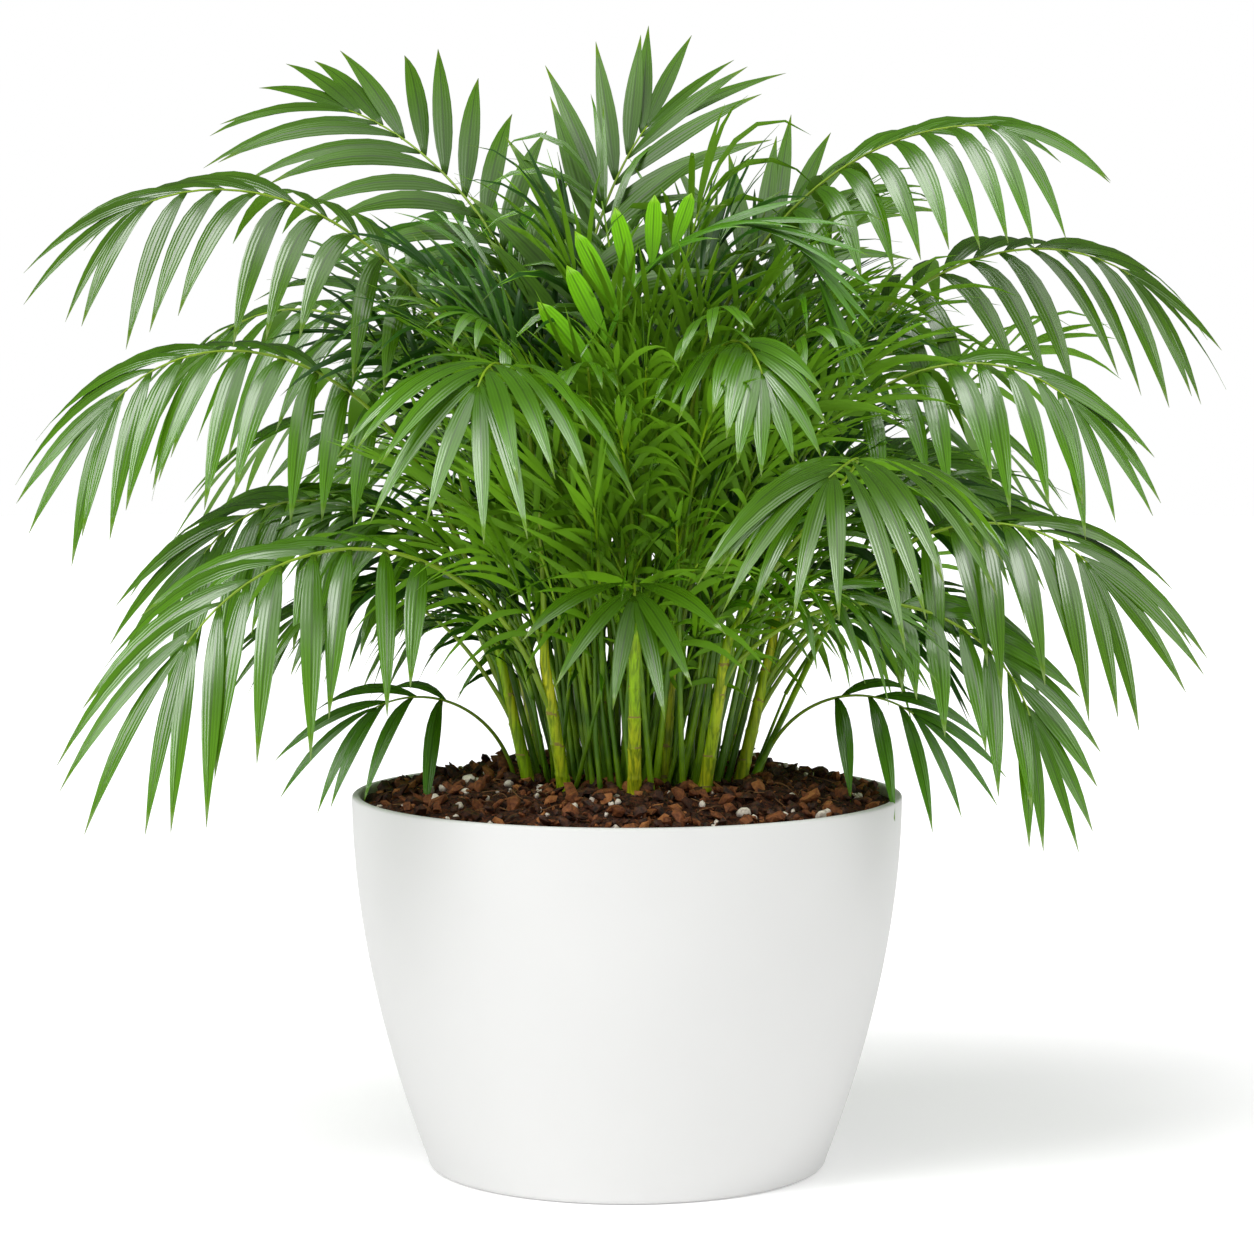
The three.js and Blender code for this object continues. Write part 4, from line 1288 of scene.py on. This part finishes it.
class PALM_OT_clump(bpy.types.Operator):
    """Canes and shoots with ringed skin, frond ribs, and leaflets in their tints"""

    bl_idname = "palm.clump"
    bl_label = "Canes and fronds"

    def execute(self, context):
        cane_sizes, sizes = context.scene.palm_canes, context.scene.palm_fronds
        canes = grow_canes()
        fronds = grow_fronds(canes)
        cad = [frond.name for frond in fronds]
        solids = {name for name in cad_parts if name.startswith("frond_")}
        missed = solids ^ {f"frond_{name}" for name in cad}
        if missed:
            raise RuntimeError(f"fronds that differ from the solids: {sorted(missed)}")
        shoots, small = grow_shoots(canes, cane_sizes.shoots)
        fills = grow_fills(canes)
        skins = [cane_skin(cane_sizes), cane_scar(cane_sizes)]
        stems = joined_canes("canes", list(canes.values()), cane_sizes, CANE_STEP, CANE_SIDES, skins)
        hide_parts(*[f"cane_{name}" for name in canes])
        shoot = shoot_skin(cane_sizes)
        joined_canes("shoots", shoots, cane_sizes, SHOOT_STEP, SHOOT_SIDES, [shoot])
        stalk = stalk_skin(sizes)
        ribs = joined_ribs("frond_ribs", fronds, sizes, stalk)
        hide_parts(*[f"frond_{name}" for name in cad])
        joined_ribs("inner_ribs", fills + small, sizes, shoot)
        under = leaf_underside(sizes)
        for number, frond in enumerate(fronds + fills + small):
            frond.number = number
        for tint, (gloss, shine) in LEAF_SHINE.items():
            skins = [leaf_skin(f"{tint} leaflet skin", tuple(getattr(sizes, tint)), gloss, shine), under]
            if tint == "young":
                skins.append(leaf_skin("closed leaflet skin", tuple(sizes.fresh), *LEAF_SHINE["fresh"]))
            chosen = [frond for frond in fronds if frond.tint == tint]
            inner = [frond for frond in fills + small if frond.tint == tint]
            if chosen:
                piece = joined_leaflets(f"leaflets_{tint}", chosen, sizes, LEAF_ROWS, skins)
                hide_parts(*[f"frond_{frond.name}" for frond in chosen])
            if inner:
                joined_leaflets(f"inner_leaflets_{tint}", inner, sizes, INNER_LEAF_ROWS, skins)
        return {"FINISHED"}


class PALM_OT_studio(bpy.types.Operator):
    """White card floor, soft lights and the camera"""

    bl_idname = "palm.studio"
    bl_label = "Studio"

    def execute(self, context):
        scene, sizes = context.scene, context.scene.palm_studio
        turn = np.linspace(0, 2 * np.pi, FLOOR_SIDES, endpoint=False)
        mesh = bpy.data.meshes.new("floor")
        mesh.from_pydata((outward(turn) * FLOOR_RADIUS).tolist(), [], [list(range(FLOOR_SIDES))])
        mesh.materials.append(white_card(sizes))
        floor = bpy.data.objects.new("floor", mesh)
        scene.collection.objects.link(floor)

        scene.view_settings.view_transform = "Standard"
        world = bpy.data.worlds.new("studio surround")
        world.use_nodes = True
        tree = world.node_tree
        tree.nodes.clear()
        # dark cloths keep the room out of the gloss, and the backdrop behind the plant is white
        path = node(tree, "LightPath").outputs
        lit = node(tree, "Background", {"Color": (1, 1, 1, 1), "Strength": sizes.sky}).outputs[0]
        mirrored = node(tree, "Background", {"Color": (1, 1, 1, 1), "Strength": sizes.cloths}).outputs[0]
        seen = node(tree, "Background", {"Color": (1, 1, 1, 1), "Strength": 1.0}).outputs[0]
        round_about = node(tree, "MixShader", {0: path["Is Glossy Ray"], 1: lit, 2: mirrored}).outputs[0]
        both = node(tree, "MixShader", {0: path["Is Camera Ray"], 1: round_about, 2: seen}).outputs[0]
        node(tree, "OutputWorld", {"Surface": both})
        scene.world = world

        for name, side, spread in LIGHTS:
            self.light(scene, name, side, spread, getattr(sizes, name))
        data = bpy.data.cameras.new("camera")
        data.lens = sizes.lens
        data.sensor_width = SENSOR
        data.clip_end = CAMERA_REACH
        camera = bpy.data.objects.new("camera", data)
        camera.location = CAMERA_AT
        camera.rotation_euler = (math.radians(90 - CAMERA_PITCH), 0, 0)
        scene.collection.objects.link(camera)
        scene.camera = camera
        return {"FINISHED"}

    def light(self, scene, name, side, spread, strength):
        """An even light from one side of the sky, as wide as spread degrees."""
        data = bpy.data.lights.new(name, "SUN")
        data.angle = math.radians(spread)
        data.energy = strength
        lamp = bpy.data.objects.new(name, data)
        lamp.rotation_euler = Vector(side).to_track_quat("Z", "Y").to_euler()
        scene.collection.objects.link(lamp)


class PALM_PT_panel(bpy.types.Panel):
    """Sizes, colours and the steps that build the palm"""

    bl_label = "Potted palm"
    bl_idname = "PALM_PT_panel"
    bl_space_type = "VIEW_3D"
    bl_region_type = "UI"
    bl_category = "Palm"

    def draw(self, context):
        for group, step in STEPS:
            box = self.layout.box()
            box.operator(step.bl_idname)
            for kept in GROUPS[group]:
                sizes = getattr(context.scene, kept)
                for key in sizes.bl_rna.properties.keys()[1:]:
                    if key != "name":
                        box.prop(sizes, key)


GROUPS = {
    "planter": ["palm_planter"],
    "mix": ["palm_mix"],
    "clump": ["palm_canes", "palm_fronds"],
    "studio": ["palm_studio"],
}
STEPS = [
    ("planter", PALM_OT_planter),
    ("mix", PALM_OT_mix),
    ("clump", PALM_OT_clump),
    ("studio", PALM_OT_studio),
]
KEPT_SIZES = {
    "palm_planter": PlanterSizes,
    "palm_mix": MixSizes,
    "palm_canes": CaneSizes,
    "palm_fronds": FrondSizes,
    "palm_studio": StudioSizes,
}
CLASSES = [*KEPT_SIZES.values(), *(step for _, step in STEPS), PALM_PT_panel]


def register():
    """Registers the classes, and hangs the sizes on the scene."""
    for one in CLASSES:
        bpy.utils.register_class(one)
    for name, group in KEPT_SIZES.items():
        setattr(bpy.types.Scene, name, PointerProperty(type=group))


def unregister():
    """Takes the sizes off the scene, and the classes back."""
    for name in KEPT_SIZES:
        delattr(bpy.types.Scene, name)
    for one in reversed(CLASSES):
        bpy.utils.unregister_class(one)


def main():
    """Makes the palm and its studio."""
    register()
    bpy.ops.palm.planter()
    bpy.ops.palm.mix()
    bpy.ops.palm.clump()
    bpy.ops.palm.studio()


if __name__ == "__main__":
    main()
